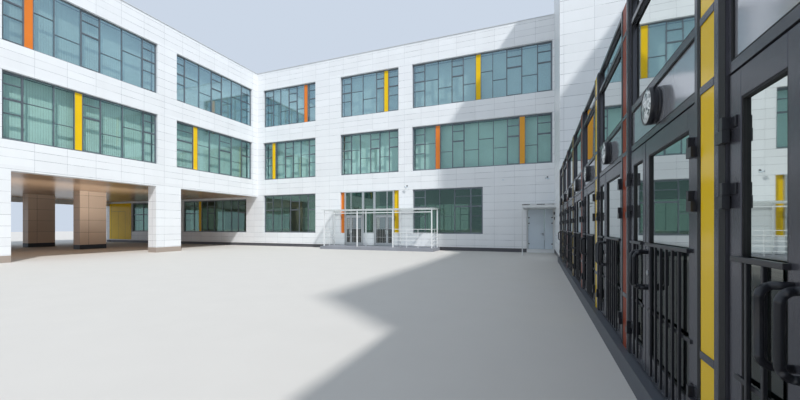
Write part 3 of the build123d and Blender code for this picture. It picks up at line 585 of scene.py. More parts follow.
across = sorted({wall_low.x, wall_high.x, *(round(x, 4) for o in openings for x in o[:2])})
up = sorted({wall_low.z, wall_high.z, *(round(z, 4) for o in openings for z in o[2:])})
wall = bmesh.new()
columns, rows = len(across) - 1, len(up) - 1
bmesh.ops.create_grid(wall, x_segments=columns, y_segments=rows, size=0.5)
for vert in wall.verts:
    column, row = round((vert.co.x + 0.5) * columns), round((vert.co.y + 0.5) * rows)
    vert.co = (across[column], wall_low.y, up[row])


def in_opening(face):
    """Whether a cell of the wall's face lies in an opening."""
    middle = face.calc_center_median()
    return any(o[0] < middle.x < o[1] and o[2] < middle.z < o[3] for o in openings)


cut = [face for face in wall.faces if in_opening(face)]
bmesh.ops.delete(wall, geom=cut, context="FACES")
drawn = bmesh.ops.extrude_face_region(wall, geom=wall.faces[:], use_keep_orig=True)["geom"]
back_verts = [g for g in drawn if isinstance(g, bmesh.types.BMVert)]
bmesh.ops.translate(wall, vec=(0, wall_high.y - wall_low.y, 0), verts=back_verts)
print("wall cells", columns * rows, "openings", len(openings), "faces", len(wall.faces))
piece("north_upper_wall", wall, BUILDING, ["north_court_wall"], [white_panels])

# %% [markdown]
# With the openings right, the frames and the panes are made again for every window: four
# aluminium sections round a sheet of glass. The upper storeys have pale teal glass, and the
# top storey's is a bluer copy that mirrors more, a painted reflection of the sky. The ground
# floor and the entrance have darker panes with nothing behind them.

# %% Frames and panes
CASING, PANE = (0.06, 0.1), (0.074, 0.084)
casings = bmesh.new()
panes = [bmesh.new() for storey in range(3)]
for window in windows:
    place, width = window["place"], window["width"]
    sill, head = window["sill"], window["head"]
    low = (-FRAME_FACE, CASING[0], sill - FRAME_FACE)
    ring(casings, low, (width + FRAME_FACE, CASING[1], head + FRAME_FACE), FRAME_FACE, place)
    bar(panes[window["storey"]], (0, PANE[0], sill), (width, PANE[1], head), place)
door_panes = [
    (low, high)
    for low, high in loose_boxes("window_glass")
    if abs(low.y - PLANES["north_court"][1]) < PANE_DEPTHS[0] and high.z < STOREY
]
for low, high in door_panes:
    bar(panes[0], low, high)
ease(casings, 0.0015)
piece("window_casings", casings, BUILDING, ["window_frames"], [bar_grey])
piece("top_storey_panes", panes[2], BUILDING, ["window_glass"], [top_glass_painted_sky])
piece("middle_storey_panes", panes[1], BUILDING, (), [teal_glass])
piece("ground_panes", panes[0], BUILDING, (), [ground_glass])
print("entrance panes", len(door_panes))

# %% [markdown]
# A window band is divided by upright aluminium bars. Most lights have one level bar, and the
# first, the last and every fourth one are casements that open inwards: each has a frame of its
# own and two or three level bars. On the court sides the bars are where the photograph has
# them, given in model millimetres from the opening's left edge; elsewhere they are evenly
# spaced.

# %% Window bars
BAR, BAR_FRONT, BAR_BACK = 0.017, 0.056, 0.112
SASH, SASH_FRONT, SASH_BACK = 0.012, 0.062, 0.076
# The level bars' heights are shares of the window's height, from its head down.
TOP, MIDDLE, LOW = 0.17, 0.40, 0.62
COURT_LIGHTS = {
    # facade, storey and window from the left: its upright bars
    ("west_court", 2, 2): (345, 480, 830, 1315, 1695, 2180, 2675),
    ("west_court", 1, 2): (325, 825, 1215, 1365, 1715, 2195, 2695),
    ("west_court", 2, 3): (295, 775, 1225, 1625, 2035, 2475),
    ("west_court", 1, 3): (555, 720, 1165, 1545, 2030, 2485),
    ("north_court", 2, 1): (405, 730, 1100, 1460, 1775, 1975),
    ("north_court", 1, 1): (360, 560, 935, 1290, 1625, 1975),
    ("north_court", 0, 1): (690,),
    ("north_court", 0, 2): (570, 1315, 1714, 2146, 2606, 2943),
    ("north_court", 0, 3): (385, 790, 1170, 1565, 1935),
    ("north_court", 2, 2): (383, 820, 1310, 1585),
    ("north_court", 1, 2): (383, 715, 1095, 1435, 1765),
    ("north_court", 2, 3): (395, 820, 1240, 1590, 1955, 2080, 2435, 2820, 3235, 3635),
    ("north_court", 1, 3): (395, 755, 890, 1260, 1610, 2035, 2455, 2840, 3180, 3320, 3635),
    ("north_court", 0, 4): (390, 845, 1305, 1790),
}
# Elsewhere the bars stand about this far apart. A light under the least width has no level
# bar, and no upright stands in the last stretch before the right edge.
EVEN_LIGHT, LEAST_LIGHT, LEAST_END = 0.46, 0.134, 0.1
STRIP_WIDTH, STRIP_BEAD, STRIP_MARGIN = 0.135, 0.014, 0.04
STRIP_REACH = 0.2
CORNER_STRIP = 0.58 - FRAME_FACE
colour_strips = [
    box
    for node in ("yellow_panels", "orange_panels")
    for box in loose_boxes(node)
    if max(box[1].x - box[0].x, box[1].y - box[0].y) < STRIP_WIDTH + 0.005
]
# The west wing's corner window has a yellow strip that the solids lack.
corner = next(w for w in windows if w["key"] == ("west_court", 1, 3))
strip = bmesh.new()
low = (CORNER_STRIP, CASING[0], corner["sill"])
made = bar(strip, low, (CORNER_STRIP + STRIP_WIDTH, PANE[0], corner["head"]), corner["place"])
colour_strips.append(box_of(vert.co for vert in made))
piece("corner_window_strip", strip, BUILDING, (), [yellow])

# The strip nearest the stair block is amber, so a thin sheet of that colour covers it.
COVER_LAP, COVER_THICK, COVER_SHORT = 0.0004, 0.0006, 0.001
in_wall = [b for b in loose_boxes("orange_panels") if 0 < b[0].y - wall_low.y < PANE_DEPTHS[1]]
low, high = max((b for b in in_wall if b[1].x < WIDER[3][1] + 0.005), key=lambda b: b[0].x)
cover = bmesh.new()
cover_low = (low.x - COVER_LAP, low.y - COVER_THICK, low.z + COVER_SHORT)
bar(cover, cover_low, (high.x + COVER_LAP, low.y, high.z - COVER_SHORT))
piece("amber_window_strip", cover, BUILDING, (), [amber])
print("amber strip", low, high)


def strips_in(window):
    """The coloured strips in front of a window, as left and right along it."""
    found = []
    for low, high in colour_strips:
        middle = window["place"].inverted() @ ((low + high) / 2)
        in_front = abs(middle.y) < PANE_DEPTHS[1] and 0 < middle.x < window["width"]
        beside = window["sill"] + STRIP_REACH < high.z < window["head"] + STRIP_REACH
        if in_front and beside and low.z < window["head"]:
            found.append((middle.x - STRIP_WIDTH / 2, middle.x + STRIP_WIDTH / 2))
    return found


def light_edges(window):
    """The places of the upright bars across a window, in metres from its left edge."""
    width = window["width"]
    if window["key"] not in COURT_LIGHTS:
        count = max(1, round(width / EVEN_LIGHT))
        return [width * n / count for n in range(1, count)]
    found = [v / 1000 - FRAME_FACE for v in COURT_LIGHTS[window["key"]]]
    taken = [(left - STRIP_MARGIN, right + STRIP_MARGIN) for left, right in strips_in(window)]
    taken.append((width - LEAST_END, math.inf))
    return [x for x in found if not any(left < x < right for left, right in taken)]


def bars_for(mesh, window):
    """The uprights, level bars and casement frames of one window."""
    place, sill, head = window["place"], window["sill"], window["head"]
    tall, half = head - sill, BAR / 2
    uprights = [(x - half, x + half) for x in light_edges(window)]
    strips = [(left - STRIP_BEAD, right + STRIP_BEAD) for left, right in strips_in(window)]
    for left, right in strips:
        bar(mesh, (left, BAR_FRONT, sill), (left + STRIP_BEAD, BAR_BACK, head), place)
        bar(mesh, (right - STRIP_BEAD, BAR_FRONT, sill), (right, BAR_BACK, head), place)
    for left, right in uprights:
        bar(mesh, (left, BAR_FRONT, sill), (right, BAR_BACK, head), place)
    uprights = sorted(uprights + strips)
    lefts = [0] + [right for _, right in uprights]
    rights = [left for left, _ in uprights] + [window["width"]]
    for number, (left, right) in enumerate(zip(lefts, rights)):
        if right - left < LEAST_LIGHT:
            continue
        if number in (0, len(uprights)) or number % 4 == 3:
            levels = (TOP, MIDDLE) if number % 2 else (TOP, MIDDLE, LOW)
            thick = half
            for above, below in ((0.0, MIDDLE), (MIDDLE, 1.0)):
                low = (left, SASH_FRONT, head - tall * below + half)
                high = (right, SASH_BACK, head - tall * above - half)
                ring(mesh, low, high, SASH, place)
        else:
            levels = (MIDDLE,) if number % 2 else (LOW,)
            thick = BAR / 3
        for share in levels:
            z = head - tall * share
            bar(mesh, (left, BAR_FRONT, z - thick), (right, BAR_BACK, z + thick), place)


for facade_name in PLANES:
    mesh = bmesh.new()
    for window in windows:
        if window["facade"] == facade_name:
            bars_for(mesh, window)
    ease(mesh, 0.0015)
    print(facade_name, "bar faces", len(mesh.faces))
    piece("window_bars_" + facade_name, mesh, materials=[bar_grey])

# %% [markdown]
# Behind the teal glass hang upright louvre blinds, stiff slats 48 mm wide on the model and
# 45 mm apart, which overlap a little and catch the sun as fine stripes. They could be one
# striped sheet, but real slats shade each other, so each is a thin turned bar behind the
# upper storeys' windows.

# %% Louvre blinds
SLAT, SLAT_THICK, SLAT_PITCH, SLAT_TURN = 0.048, 0.0016, 0.045, 13
BLIND_DEPTH = 0.265
slat_cloth = finish("stiffened_blind_fabric", "#e4f2ec", 0.8, 0.0, 2.0, 0.08, 0.2)
turn = Matrix.Rotation(math.radians(SLAT_TURN), 4, "Z")

for facade_name in PLANES:
    mesh = bmesh.new()
    for window in windows:
        if window["facade"] != facade_name or window["storey"] == 0:
            continue
        count = int(window["width"] / SLAT_PITCH)
        margin = (window["width"] - count * SLAT_PITCH) / 2
        foot, top = window["sill"] + 0.01, window["head"] + 0.02
        for number in range(count + 1):
            x = number * SLAT_PITCH + margin
            at = window["place"] @ Matrix.Translation((x, BLIND_DEPTH, 0)) @ turn
            bar(mesh, (-SLAT / 2, -SLAT_THICK / 2, foot), (SLAT / 2, SLAT_THICK / 2, top), at)
    print(facade_name, "slat faces", len(mesh.faces))
    piece("blinds_" + facade_name, mesh, materials=[slat_cloth])

# %% [markdown]
# A door leaf of the gallery is a frame of aluminium sections round one sheet of glass, with a
# guard of thin bars outside its lower half, a bent tube to pull it by and three hinges. The
# solid of the model has all of them, plainly. The leaf is built again here in the hinge's own
# axes, x along the leaf and y into the building, and mirrored for leaves that hang on the
# right, so one set of functions makes all twenty-two.

# %% Sizes of a door leaf
HINGE_IN, HINGE_OUT, KNUCKLE, HINGE_LENGTH = 0.005, 0.012, 0.007, 0.030
HINGE_HEIGHTS = (0.125, 0.690, 0.845)
LEAF_THICK, STILE, MEETING_STILE = 0.030, 0.050, 0.039
FOOT_RAIL, HEAD_RAIL = 0.090, 0.065
GLASS_FRONT, GLASS_BACK, GASKET, GASKET_IN = 0.009, 0.019, 0.005, 0.002
GUARD_TOP, GUARD_MIDDLE, GUARD_FOOT = 0.550, 0.280, 0.025
GUARD_RAIL, GUARD_STRAP, GUARD_BAR = 0.012, 0.004, 0.008
GUARD_EDGE, GUARD_SPACING = 0.030, 0.060
PULL_LOW, PULL_HIGH, PULL_REACH = 0.362, 0.510, 0.055
PULL_EDGE, PULL_RADIUS, PULL_BEND, BEND_STEPS = 0.025, 0.0078, 0.022, 6


def leaf_place(joint):
    """Where a leaf's own corner is, and which way it runs, from its hinge."""
    angle = 270 if joint["child"].startswith("gallery") else 0
    side = -1 if joint["axis"][2] > 0 else 1
    low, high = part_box(joint["child"])
    pin = Vector(joint["pos_m"])
    size = high - low
    width = (size.y if angle == 270 else size.x) - (KNUCKLE - HINGE_IN)
    place = (
        Matrix.Translation((pin.x, pin.y, low.z))
        @ Matrix.Rotation(math.radians(angle), 4, "Z")
        @ Matrix.Diagonal((side, 1, 1, 1))
        @ Matrix.Translation((-HINGE_IN, HINGE_OUT, 0))
    )
    return place, width, size.z


for joint in frame["joints"][:2]:
    place, width, height = leaf_place(joint)
    print(joint["child"], "width", round(width, 3), "height", round(height, 3))

# %% [markdown]
# The frame is two uprights and two level sections, with the edges eased by 1.5 mm, because
# drawn aluminium has no sharp corners. A black rubber gasket holds the glass, and it reads as
# the dark line inside every frame of the photograph.


# %% Frame and glass
def leaf_frame(width, height, place):
    """The aluminium sections of a leaf and the gasket inside them."""
    mesh = bmesh.new()
    left, right = STILE, width - MEETING_STILE
    foot, top = FOOT_RAIL, height - HEAD_RAIL
    bar(mesh, (0, 0, 0), (left, LEAF_THICK, height), place)
    bar(mesh, (right, 0, 0), (width, LEAF_THICK, height), place)
    bar(mesh, (left, 0, 0), (right, LEAF_THICK, foot), place)
    bar(mesh, (left, 0, top), (right, LEAF_THICK, height), place)
    ease(mesh, 0.0012)
    for front, back in ((GASKET_IN, GLASS_FRONT), (GLASS_BACK, LEAF_THICK - GASKET_IN)):
        ring(mesh, (left, front, foot), (right, back, top), GASKET, place, 1)
    return mesh


def leaf_glass(width, height, place):
    """The sheet of glass between the gaskets."""
    mesh = bmesh.new()
    low = (STILE, GLASS_FRONT, FOOT_RAIL)
    bar(mesh, low, (width - MEETING_STILE, GLASS_BACK, height - HEAD_RAIL), place)
    return mesh


print("frame and glass ready")

# %% [markdown]
# The pull is one tube, bent twice. A round face starts it, and is extruded straight, then
# turned in small steps about the centre of each bend, as a tube bender does.
# The handles of real doors are made so, and the bend keeps its round section all the way.


# %% Pull, lever and hinges
def pull_tube(mesh, x, place):
    """A round tube bent twice, its two feet on the leaf's face at y = 0."""
    made = bmesh.ops.create_circle(
        mesh,
        cap_ends=True,
        radius=PULL_RADIUS,
        segments=16,
        matrix=Matrix.Translation((x, 0, PULL_LOW)) @ Matrix.Rotation(math.radians(90), 4, "X"),
    )
    every = set(made["verts"])
    end = next(iter(faces_of(made["verts"])))

    def longer(end, step=None, centre=None):
        """The tube's end face moved on, straight by a step or a little round a centre."""
        made = bmesh.ops.extrude_face_region(mesh, geom=[end])["geom"]
        ring_verts = [g for g in made if isinstance(g, bmesh.types.BMVert)]
        if step:
            bmesh.ops.translate(mesh, vec=step, verts=ring_verts)
        else:
            turn = Matrix.Rotation(math.radians(-90 / BEND_STEPS), 3, "X")
            bmesh.ops.rotate(mesh, cent=centre, matrix=turn, verts=ring_verts)
        every.update(ring_verts)
        return next(g for g in made if isinstance(g, bmesh.types.BMFace))

    reach = PULL_REACH - PULL_RADIUS - PULL_BEND
    end = longer(end, step=(0, -reach, 0))
    for _ in range(BEND_STEPS):
        end = longer(end, centre=(x, -reach, PULL_LOW + PULL_BEND))
    end = longer(end, step=(0, 0, PULL_HIGH - PULL_LOW - 2 * PULL_BEND))
    for _ in range(BEND_STEPS):
        end = longer(end, centre=(x, -reach, PULL_HIGH - PULL_BEND))
    longer(end, step=(0, reach, 0))
    live = [v for v in every if v.is_valid]
    for face in faces_of(live):
        face.smooth = len(face.verts) == 4
    bmesh.ops.transform(mesh, matrix=place, verts=live)


LEVER_HEIGHT, LEVER_RADIUS, LEVER_LENGTH = 0.415, 0.0045, 0.0575
LEVER_REACH, LEVER_LINE = 0.034, 0.0305
PLATE_HALF, PLATE_THICK, PLATE_UP, PLATE_DOWN = 0.009, 0.004, 0.022, 0.045
KEY_DROP, KEY_RADIUS, KEY_REACH = 0.03, 0.006, 0.0065


def lever(mesh, x, place):
    """A round lever on a rounded plate, pointing away from the meeting edge."""
    z = LEVER_HEIGHT
    low = (x - PLATE_HALF, -PLATE_THICK, z - PLATE_DOWN)
    made = bar(mesh, low, (x + PLATE_HALF, 0, z + PLATE_UP), place)
    across = {e for v in made for e in v.link_edges if e.calc_length() < PLATE_THICK + 0.001}
    ease(mesh, 0.008, 4, list(across))
    rod(mesh, (x, -PLATE_THICK, z), (x, -LEVER_REACH, z), LEVER_RADIUS, place, 14)
    near, far = (x + 0.004, -LEVER_LINE, z), (x - LEVER_LENGTH, -LEVER_LINE, z)
    rod(mesh, near, far, LEVER_RADIUS, place, 14)
    rod(mesh, (x, -KEY_REACH, z - KEY_DROP), (x, 0, z - KEY_DROP), KEY_RADIUS, place, 14)


HINGE_GAP, FLAP_THICK, FLAP_END, FLAP_SHORT = 0.0002, 0.004, 0.036, 0.002


def hinges(mesh, place):
    """The moving halves of the three hinges, with the leaf's own flap beside each."""
    for z in HINGE_HEIGHTS:
        low = (HINGE_IN - KNUCKLE, -HINGE_OUT - KNUCKLE, z)
        high = (HINGE_IN + KNUCKLE, -HINGE_GAP, z + HINGE_LENGTH)
        bar(mesh, low, high, place)
        low = (HINGE_IN + KNUCKLE, -FLAP_THICK, z + FLAP_SHORT)
        bar(mesh, low, (FLAP_END, -HINGE_GAP, z + HINGE_LENGTH - FLAP_SHORT), place)
    ease(mesh, 0.0011, 2)


print("handles ready")

# %% [markdown]
# The guard keeps feet and bags off the glass: a flat rail at half height, a thin strap below
# it and a row of square bars, six on a wide leaf and two on a narrow one. Between the feet of
# the wide leaf's pull sits the round lock, with its bright steel cylinder.


# %% Guard and lock
def guard(mesh, width, place):
    """The rail, the strap and the bars outside the lower half of a leaf."""
    left, right = GUARD_EDGE, width - GUARD_EDGE
    rail_low = (left, -GUARD_RAIL, GUARD_TOP - GUARD_RAIL)
    bar(mesh, rail_low, (right, 0, GUARD_TOP), place)
    strap_low = (left, -GUARD_STRAP, GUARD_MIDDLE - GUARD_RAIL)
    bar(mesh, strap_low, (right, 0, GUARD_MIDDLE), place)
    count = int((width - 2 * STILE) // GUARD_SPACING)
    first = width / 2 - (count - 1) * GUARD_SPACING / 2
    half = GUARD_BAR / 2
    for number in range(count):
        x = first + number * GUARD_SPACING
        low = (x - half, -GUARD_STRAP - GUARD_BAR, GUARD_FOOT)
        bar(mesh, low, (x + half, -GUARD_STRAP, GUARD_TOP - GUARD_RAIL), place)
    ease(mesh, 0.001)


LOCK_HEIGHT, ROSE, ROSE_THICK, CYLINDER, CYLINDER_REACH = 0.425, 0.011, 0.003, 0.0055, 0.005


def lock(mesh, x, place):
    """A round rose and the lock cylinder in it."""
    z = LOCK_HEIGHT
    rod(mesh, (x, -ROSE_THICK, z), (x, 0, z), ROSE, place, 20, 1)
    rod(mesh, (x, -CYLINDER_REACH, z), (x, -ROSE_THICK, z), CYLINDER, place, 16, 1)


def dress_leaf(joint, metal, fittings):
    """All pieces of one leaf: its frame, its glass and what is screwed to it."""
    name = joint["child"]
    place, width, height = leaf_place(joint)
    glazed = not name.startswith("service")
    if glazed:
        mesh = leaf_frame(width, height, place)
        piece(name + "_frame", mesh, name, [name], [metal, rubber])
        mesh = leaf_glass(width, height, place)
        piece(name + "_glass", mesh, name, (), [dark_glass])
    else:
        mesh = bmesh.new()
        bar(mesh, (0, 0, 0), (width, LEAF_THICK, height), place)
        ease(mesh, 0.0015, 2)
        piece(name + "_sheet", mesh, name, [name], [metal])
    mesh = bmesh.new()
    hinges(mesh, place)
    if glazed:
        guard(mesh, width, place)
        pull_tube(mesh, width - PULL_EDGE, place)
    if name.endswith("wide"):
        furniture = lock if glazed else lever
        furniture(mesh, width - PULL_EDGE, place)
    piece(name + "_fittings", mesh, name, (), [fittings, stainless])


slots = {part["node"]: part["material_slot"] for part in frame["record"]["subparts"]}
LEAF_METALS = {
    "gallery": (graphite, dark_enamel),
    "entrance": (anodised, anodised),
    "service": (door_grey, dark_enamel),
}
for joint in frame["joints"]:
    dress_leaf(joint, *LEAF_METALS[joint["child"].split("_")[0]])

# %% [markdown]
# Between the doors stand the coloured strips. Short level rails cross each strip where the
# sections beside it are joined, a grey bead closes its edge, and black strips stand in the
# rebates: partly rubber gasket, partly painted shade of the gaps beside the posts. They are
# drawn in the gallery's own axes, x southwards from the stair block, and each unit repeats
# after 950 mm.

# %% Gallery strips and gaskets
GALLERY_PITCH, POST, STRIP, UNITS = 0.95, 0.035, 0.11, 9
UNIT = 2 * POST + STRIP
STRIP_LEVELS, RAIL_HALF = (0.365, 1.09, 1.28, 1.70), 0.011
RED_UNITS = (0, 2, 4, 6)
gallery_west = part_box("gallery_spandrels")[0].x - 0.006
gallery_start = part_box("gallery_posts")[1].y
gallery_place = facing(gallery_west, gallery_start, 270)
gallery_foot, gallery_head = (corner.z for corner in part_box("red_panels"))

# Along a unit come a dark groove, the coloured face, a bead and a dark seam. The groove and
# the seam are black strips, partly rubber and partly painted shade of the gaps. Their fronts
# stand a little before one another.
GROOVE, FACE_END, BEAD_END = (0.020, 0.041), 0.124, 0.147
BACK = 0.0058
beads = bmesh.new()
gaskets_and_gap_shade = bmesh.new()
faces = {"yellow": bmesh.new(), "red": bmesh.new()}
for unit in range(UNITS):
    start = unit * GALLERY_PITCH
    groove_start, face_start = start + GROOVE[0], start + GROOVE[1]
    face_end, bead_end = start + FACE_END, start + BEAD_END
    face = faces["red" if unit in RED_UNITS else "yellow"]
    for mesh, left, right, front in (
        (gaskets_and_gap_shade, groove_start, face_start, -0.0056),
        (beads, face_end, bead_end, -0.0068),
        (face, face_start, face_end, -0.0046),
    ):
        bar(mesh, (left, front, gallery_foot), (right, BACK, gallery_head), gallery_place)
    # The seam to the post's edge is black: painted shade of the gap beside the leaf, over a rubber seal.
    low = (bead_end, -0.0058, gallery_foot + 0.001)
    bar(gaskets_and_gap_shade, low, (start + UNIT - 0.0005, -0.005, gallery_head - 0.001), gallery_place)
    for level in STRIP_LEVELS:
        low = (face_start, -0.0075, level - RAIL_HALF)
        bar(beads, low, (face_end, -0.0044, level + RAIL_HALF), gallery_place)
ease(beads, 0.001)

# The fixed halves of the hinges get dark caps, like the moving halves above them, and the
# three lights over each pair of doors get a gasket.
DOOR_GAP, LIGHT_GAP, LIGHT_GASKET = 0.006, 0.012, 0.005
CAP, CAP_BACK, CAP_FRONT = 0.0004, 0.005, 0.019
CAP_POST, CAP_DOOR = 0.022, 0.012
LIGHTS = ((1.01, 1.175), (1.2, 1.605), (1.625, 1.745))
for bay in range(UNITS - 1):
    left, right = bay * GALLERY_PITCH + UNIT, (bay + 1) * GALLERY_PITCH
    for edge, side in ((left + DOOR_GAP, 1), (right - DOOR_GAP, -1)):
        ends = sorted((edge - side * (CAP_POST + CAP), edge + side * (CAP_DOOR + CAP)))
        for z in HINGE_HEIGHTS:
            top = gallery_foot + DOOR_GAP + z - CAP
            low = (ends[0], -CAP_FRONT - CAP, top - HINGE_LENGTH)
            bar(gaskets_and_gap_shade, low, (ends[1], -CAP_BACK + CAP, top), gallery_place, 1)
    for foot, top in LIGHTS:
        low = (left + LIGHT_GAP, 0.001, gallery_foot + foot)
        high = (right - LIGHT_GAP, BACK, gallery_foot + top)
        ring(gaskets_and_gap_shade, low, high, LIGHT_GASKET, gallery_place)
piece("gallery_strip_rails", beads, materials=[graphite])
piece("gallery_gaskets_and_gap_shade", gaskets_and_gap_shade, materials=[rubber, dark_enamel])
piece("gallery_yellow_faces", faces["yellow"], materials=[yellow])
piece("gallery_red_faces", faces["red"], materials=[red])
print("gallery units", UNITS)

# %% [markdown]
# A round lamp is fixed to every spandrel: a dark drum with one seam, and a pale lens that
# bulges out of it, pressed in rings and small facets that spread the light. Both are turned
# shapes, so a profile of a few points is spun about the lamp's axis and its doubles are merged.


# %% Gallery lamps
LAMP_STEPS = 32


def turned(mesh, profile, place):
    """A round piece spun from a profile of radius and depth about the local y axis."""
    before = set(mesh.verts)
    verts = [mesh.verts.new((radius, depth, 0)) for radius, depth in profile]
    edges = [mesh.edges.new(pair) for pair in zip(verts, verts[1:])]
    bmesh.ops.spin(
        mesh,
        geom=verts + edges,
        cent=(0, 0, 0),
        axis=(0, 1, 0),
        angle=math.tau,
        steps=LAMP_STEPS,
        use_merge=True,
    )
    made = [v for v in mesh.verts if v not in before]
    bmesh.ops.remove_doubles(mesh, verts=made, dist=1e-5)
    made = [v for v in mesh.verts if v not in before]
    for face in faces_of(made):
        face.smooth = True
    bmesh.ops.transform(mesh, matrix=place, verts=made)


DRUM = (
    (0.0, 0.006), (0.068, 0.006), (0.070, 0.004), (0.070, -0.004), (0.0685, -0.0045),
    (0.0685, -0.006), (0.072, -0.0065), (0.072, -0.029), (0.0705, -0.0305),
    (0.066, -0.0305), (0.066, -0.026), (0.0, -0.026),
)
LENS_RADIUS, LENS_RINGS, LENS_RIM, LENS_BULGE = 0.064, 10, -0.029, 0.0095
LENS_BACK, RING_STEP, RING_DEPTH = -0.0265, 0.0032, 0.0008
lens_profile = [(0.0655, LENS_BACK), (0.0655, LENS_RIM)]
for step in range(1, LENS_RINGS + 1):
    radius = LENS_RADIUS * (1 - step / LENS_RINGS)
    depth = LENS_RIM - LENS_BULGE * (1 - (radius / LENS_RADIUS) ** 2)
    lens_profile += [(radius + RING_STEP, depth + RING_DEPTH), (radius, depth)]
lens_profile.append((0.0, LENS_BACK))

drums = bmesh.new()
lenses = bmesh.new()
lamps = loose_boxes("gallery_lamps")
for low, high in lamps:
    middle = (low + high) / 2
    place = facing(high.x - 0.006, middle.y, 270) @ Matrix.Translation((0, 0, middle.z))
    turned(drums, DRUM, place)
    turned(lenses, lens_profile, place)
piece("gallery_lamp_drums", drums, BUILDING, ["gallery_lamps"], [dark_enamel])
piece("gallery_lamp_lenses", lenses, materials=[lens_white])
print("lamps", len(lamps))

# %% [markdown]
# The railings beside the canopy are level bars in the solids. Thin flat uprights hold them,
# two in the long run and one in each short run. The yellow panel in the passage has open
# joints and the hood's front has slots, both drawn as thin dark strips. Beside the doors are
# the devices of a school: two watch cameras on brackets, a bulkhead lamp and an entry panel.

# %% Railings and wall fittings
FLAT_WIDE, FLAT_THIN = 0.006, 0.004
uprights = bmesh.new()
rails = loose_boxes("entrance_railings")
long_rails = [box for box in rails if box[1].x - box[0].x > 0.5]
rail_low, rail_high = box_of(corner for box in long_rails for corner in box)
platform_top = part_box("entrance_platform")[1].z


def upright(middle, half_x, half_y):
    """A flat bar from the platform up to the top rail."""
    low = (middle.x - half_x, middle.y - half_y, platform_top)
    bar(uprights, low, (middle.x + half_x, middle.y + half_y, rail_high.z))


for share in (0.36, 0.66):
    middle = (rail_low + rail_high) / 2
    middle.x = rail_low.x + (rail_high.x - rail_low.x) * share
    upright(middle, FLAT_WIDE, FLAT_THIN)
for side in (min(b[0].x for b in rails), max(b[1].x for b in rails)):
    middles = [(low + high) / 2 for low, high in rails]
    middles = [middle for middle in middles if abs(middle.x - side) < 0.02]
    upright(sum(middles, Vector()) / len(middles), FLAT_THIN, FLAT_WIDE)
ease(uprights, 0.0008)
piece("railing_uprights", uprights, materials=[white_steel])

GAP_HALF = 0.004
joints_dark = bmesh.new()
panel_low, panel_high = max(loose_boxes("yellow_panels"), key=lambda b: b[1].x - b[0].x)
panel = panel_high - panel_low
front, back = panel_low.y - 0.001, panel_low.y + 0.004
level = panel_high.z - panel.z * 0.22
places = [panel_low.x + panel.x * share for share in (0.10, 0.42, 0.74)]
for x, top in zip(places, (panel_high.z, level, level)):
    bar(joints_dark, (x - GAP_HALF, front, panel_low.z), (x + GAP_HALF, back, top))
left, _, right = places
bar(joints_dark, (left, front, level - GAP_HALF), (right, back, level + GAP_HALF))
piece("passage_panel_joints", joints_dark, materials=[rubber])

hood_low, hood_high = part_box("service_canopy")
slots_dark = bmesh.new()
for left, right in ((4.09, 4.27), (4.43, 4.62), (4.70, 4.84)):
    low = (left, hood_low.y, hood_high.z - 0.026)
    bar(slots_dark, low, (right, hood_low.y + 0.004, hood_high.z - 0.008))
piece("hood_slots", slots_dark, materials=[rubber])


def watch_camera(mesh, place):
    """A camera in a tube, on a bracket that stands off the wall."""
    bar(mesh, (-0.02, -0.006, -0.02), (0.02, 0, 0.02), place, 1)
    rod(mesh, (0, -0.006, 0), (0, -0.07, -0.02), 0.006, place, 10, 1)
    rod(mesh, (-0.045, -0.075, -0.035), (0.045, -0.085, -0.055), 0.018, place, 18)
    rod(mesh, (-0.05, -0.0745, -0.034), (-0.045, -0.075, -0.035), 0.021, place, 18, 1)


north_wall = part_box("north_court_wall")[0].y
stair_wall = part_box("stair_block_walls")[0].x
devices = bmesh.new()
for x, z in ((0.64, 1.99), (4.70, 2.06)):
    watch_camera(devices, facing(x, north_wall, 0) @ Matrix.Translation((0, 0, z)))
rod(devices, (3.54, north_wall - 0.02, 2.037), (3.54, north_wall, 2.037), 0.02, None, 18)
by_door = facing(stair_wall, 1.63, 270)
bar(devices, (-0.03, -0.03, 1.03), (0.03, 0, 1.10), by_door, 1)
bar(devices, (-0.022, -0.036, 1.04), (0.022, -0.03, 1.09), by_door)
bar(devices, (-0.025, -0.02, 0.90), (0.025, 0, 0.965), by_door, 1)
bar(devices, (-0.018, -0.024, 0.91), (0.018, -0.02, 0.95), by_door)
ease(devices, 0.002)
piece("wall_devices", devices, materials=[door_grey, dark_enamel])
print("railings and wall devices ready")

# %% [markdown]
# The solids that are right as they are get their finish through the slot that the record
# names for each of them. Nothing of the model is moved or reshaped.

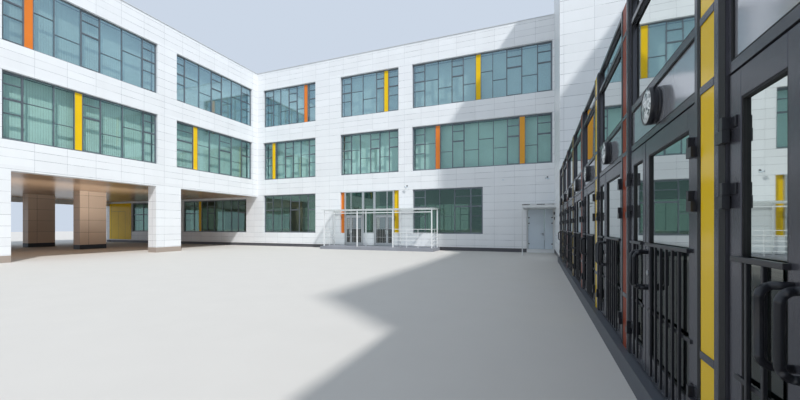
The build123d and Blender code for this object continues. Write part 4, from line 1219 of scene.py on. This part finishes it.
# %% Finishes on the solids
FINISHES = {
    "white_cladding": white_panels,
    "taupe_cladding": taupe_panels,
    "concrete": concrete,
    "pale_aluminium": anodised,
    "grey_aluminium": anodised,
    "anthracite_aluminium": graphite,
    "teal_glass": teal_glass,
    "clear_glass": dark_glass,
    "lamp_glass": lens_white,
    "yellow_enamel": yellow,
    "orange_enamel": orange,
    "red_enamel": red,
    "grey_enamel": spandrel_grey,
    "white_steel": white_steel,
}
OWN_FINISH = {
    "floor_slabs": dark_stone,
    "undercroft_soffit": soffit_strips,
    "undercroft_piers": pier_panels,
    "entrance_canopy_roof": canopy_sheet,
    "service_canopy": render_white,
    "service_door_frame": white_steel,
    "gallery_roof": render_white,
    "parapet_copings": coping_metal,
}
for name, node in frame["nodes"].items():
    node.data.materials.clear()
    node.data.materials.append(OWN_FINISH.get(name, FINISHES[slots[name]]))
print("finished nodes", len(frame["nodes"]))

# %% [markdown]
# The photograph was taken in hard sun. The studio light comes from the same side, but softer
# and plain, so that each finish shows about the colour that it was given, and a pale sky
# fills the shade.

# %% Floor and light
floor_mesh = bmesh.new()
bmesh.ops.create_grid(floor_mesh, x_segments=1, y_segments=1, size=60)
floor_data = bpy.data.meshes.new("studio_floor")
floor_mesh.to_mesh(floor_data)
floor_mesh.free()
floor = bpy.data.objects.new("studio_floor", floor_data)
scene.collection.objects.link(floor)
floor_data.materials.append(finish("studio_floor_paint", "#cdc9c3", 0.8, 0.0, 4.0, 0.02))


def lamp(name, kind, energy):
    """A lamp and its data."""
    data = bpy.data.lights.new(name, kind)
    data.energy = energy
    obj = bpy.data.objects.new(name, data)
    scene.collection.objects.link(obj)
    return obj, data


SUN_FROM = (2.0, -1.54, 2.71)
sun, sun_data = lamp("key", "SUN", 3.0)
sun_data.angle = math.radians(2.5)
sun.rotation_euler = Vector(SUN_FROM).to_track_quat("Z", "Y").to_euler()

# Under the wing, light also comes in low from the sunlit court. A long soft lamp that lies
# behind the piers and leans towards the passage stands in for that glow.
glow, glow_data = lamp("passage_glow", "AREA", 50)
glow_data.shape = "RECTANGLE"
glow_data.size, glow_data.size_y = 0.9, 7.0
glow_data.spread = math.radians(80)
glow.location = (-6.2, -4.2, 0.35)
glow.rotation_euler = (0, math.radians(130), 0)
glow.visible_camera = False
glow.visible_glossy = False

world = bpy.data.worlds.new("studio")
scene.world = world
world.use_nodes = True
backdrop = world.node_tree.nodes["Background"]
backdrop.inputs["Color"].default_value = linear("#d6e2f2")
backdrop.inputs["Strength"].default_value = 0.9
scene.view_settings.view_transform = "Standard"
print("lights", sun_data.energy, backdrop.inputs["Strength"].default_value)
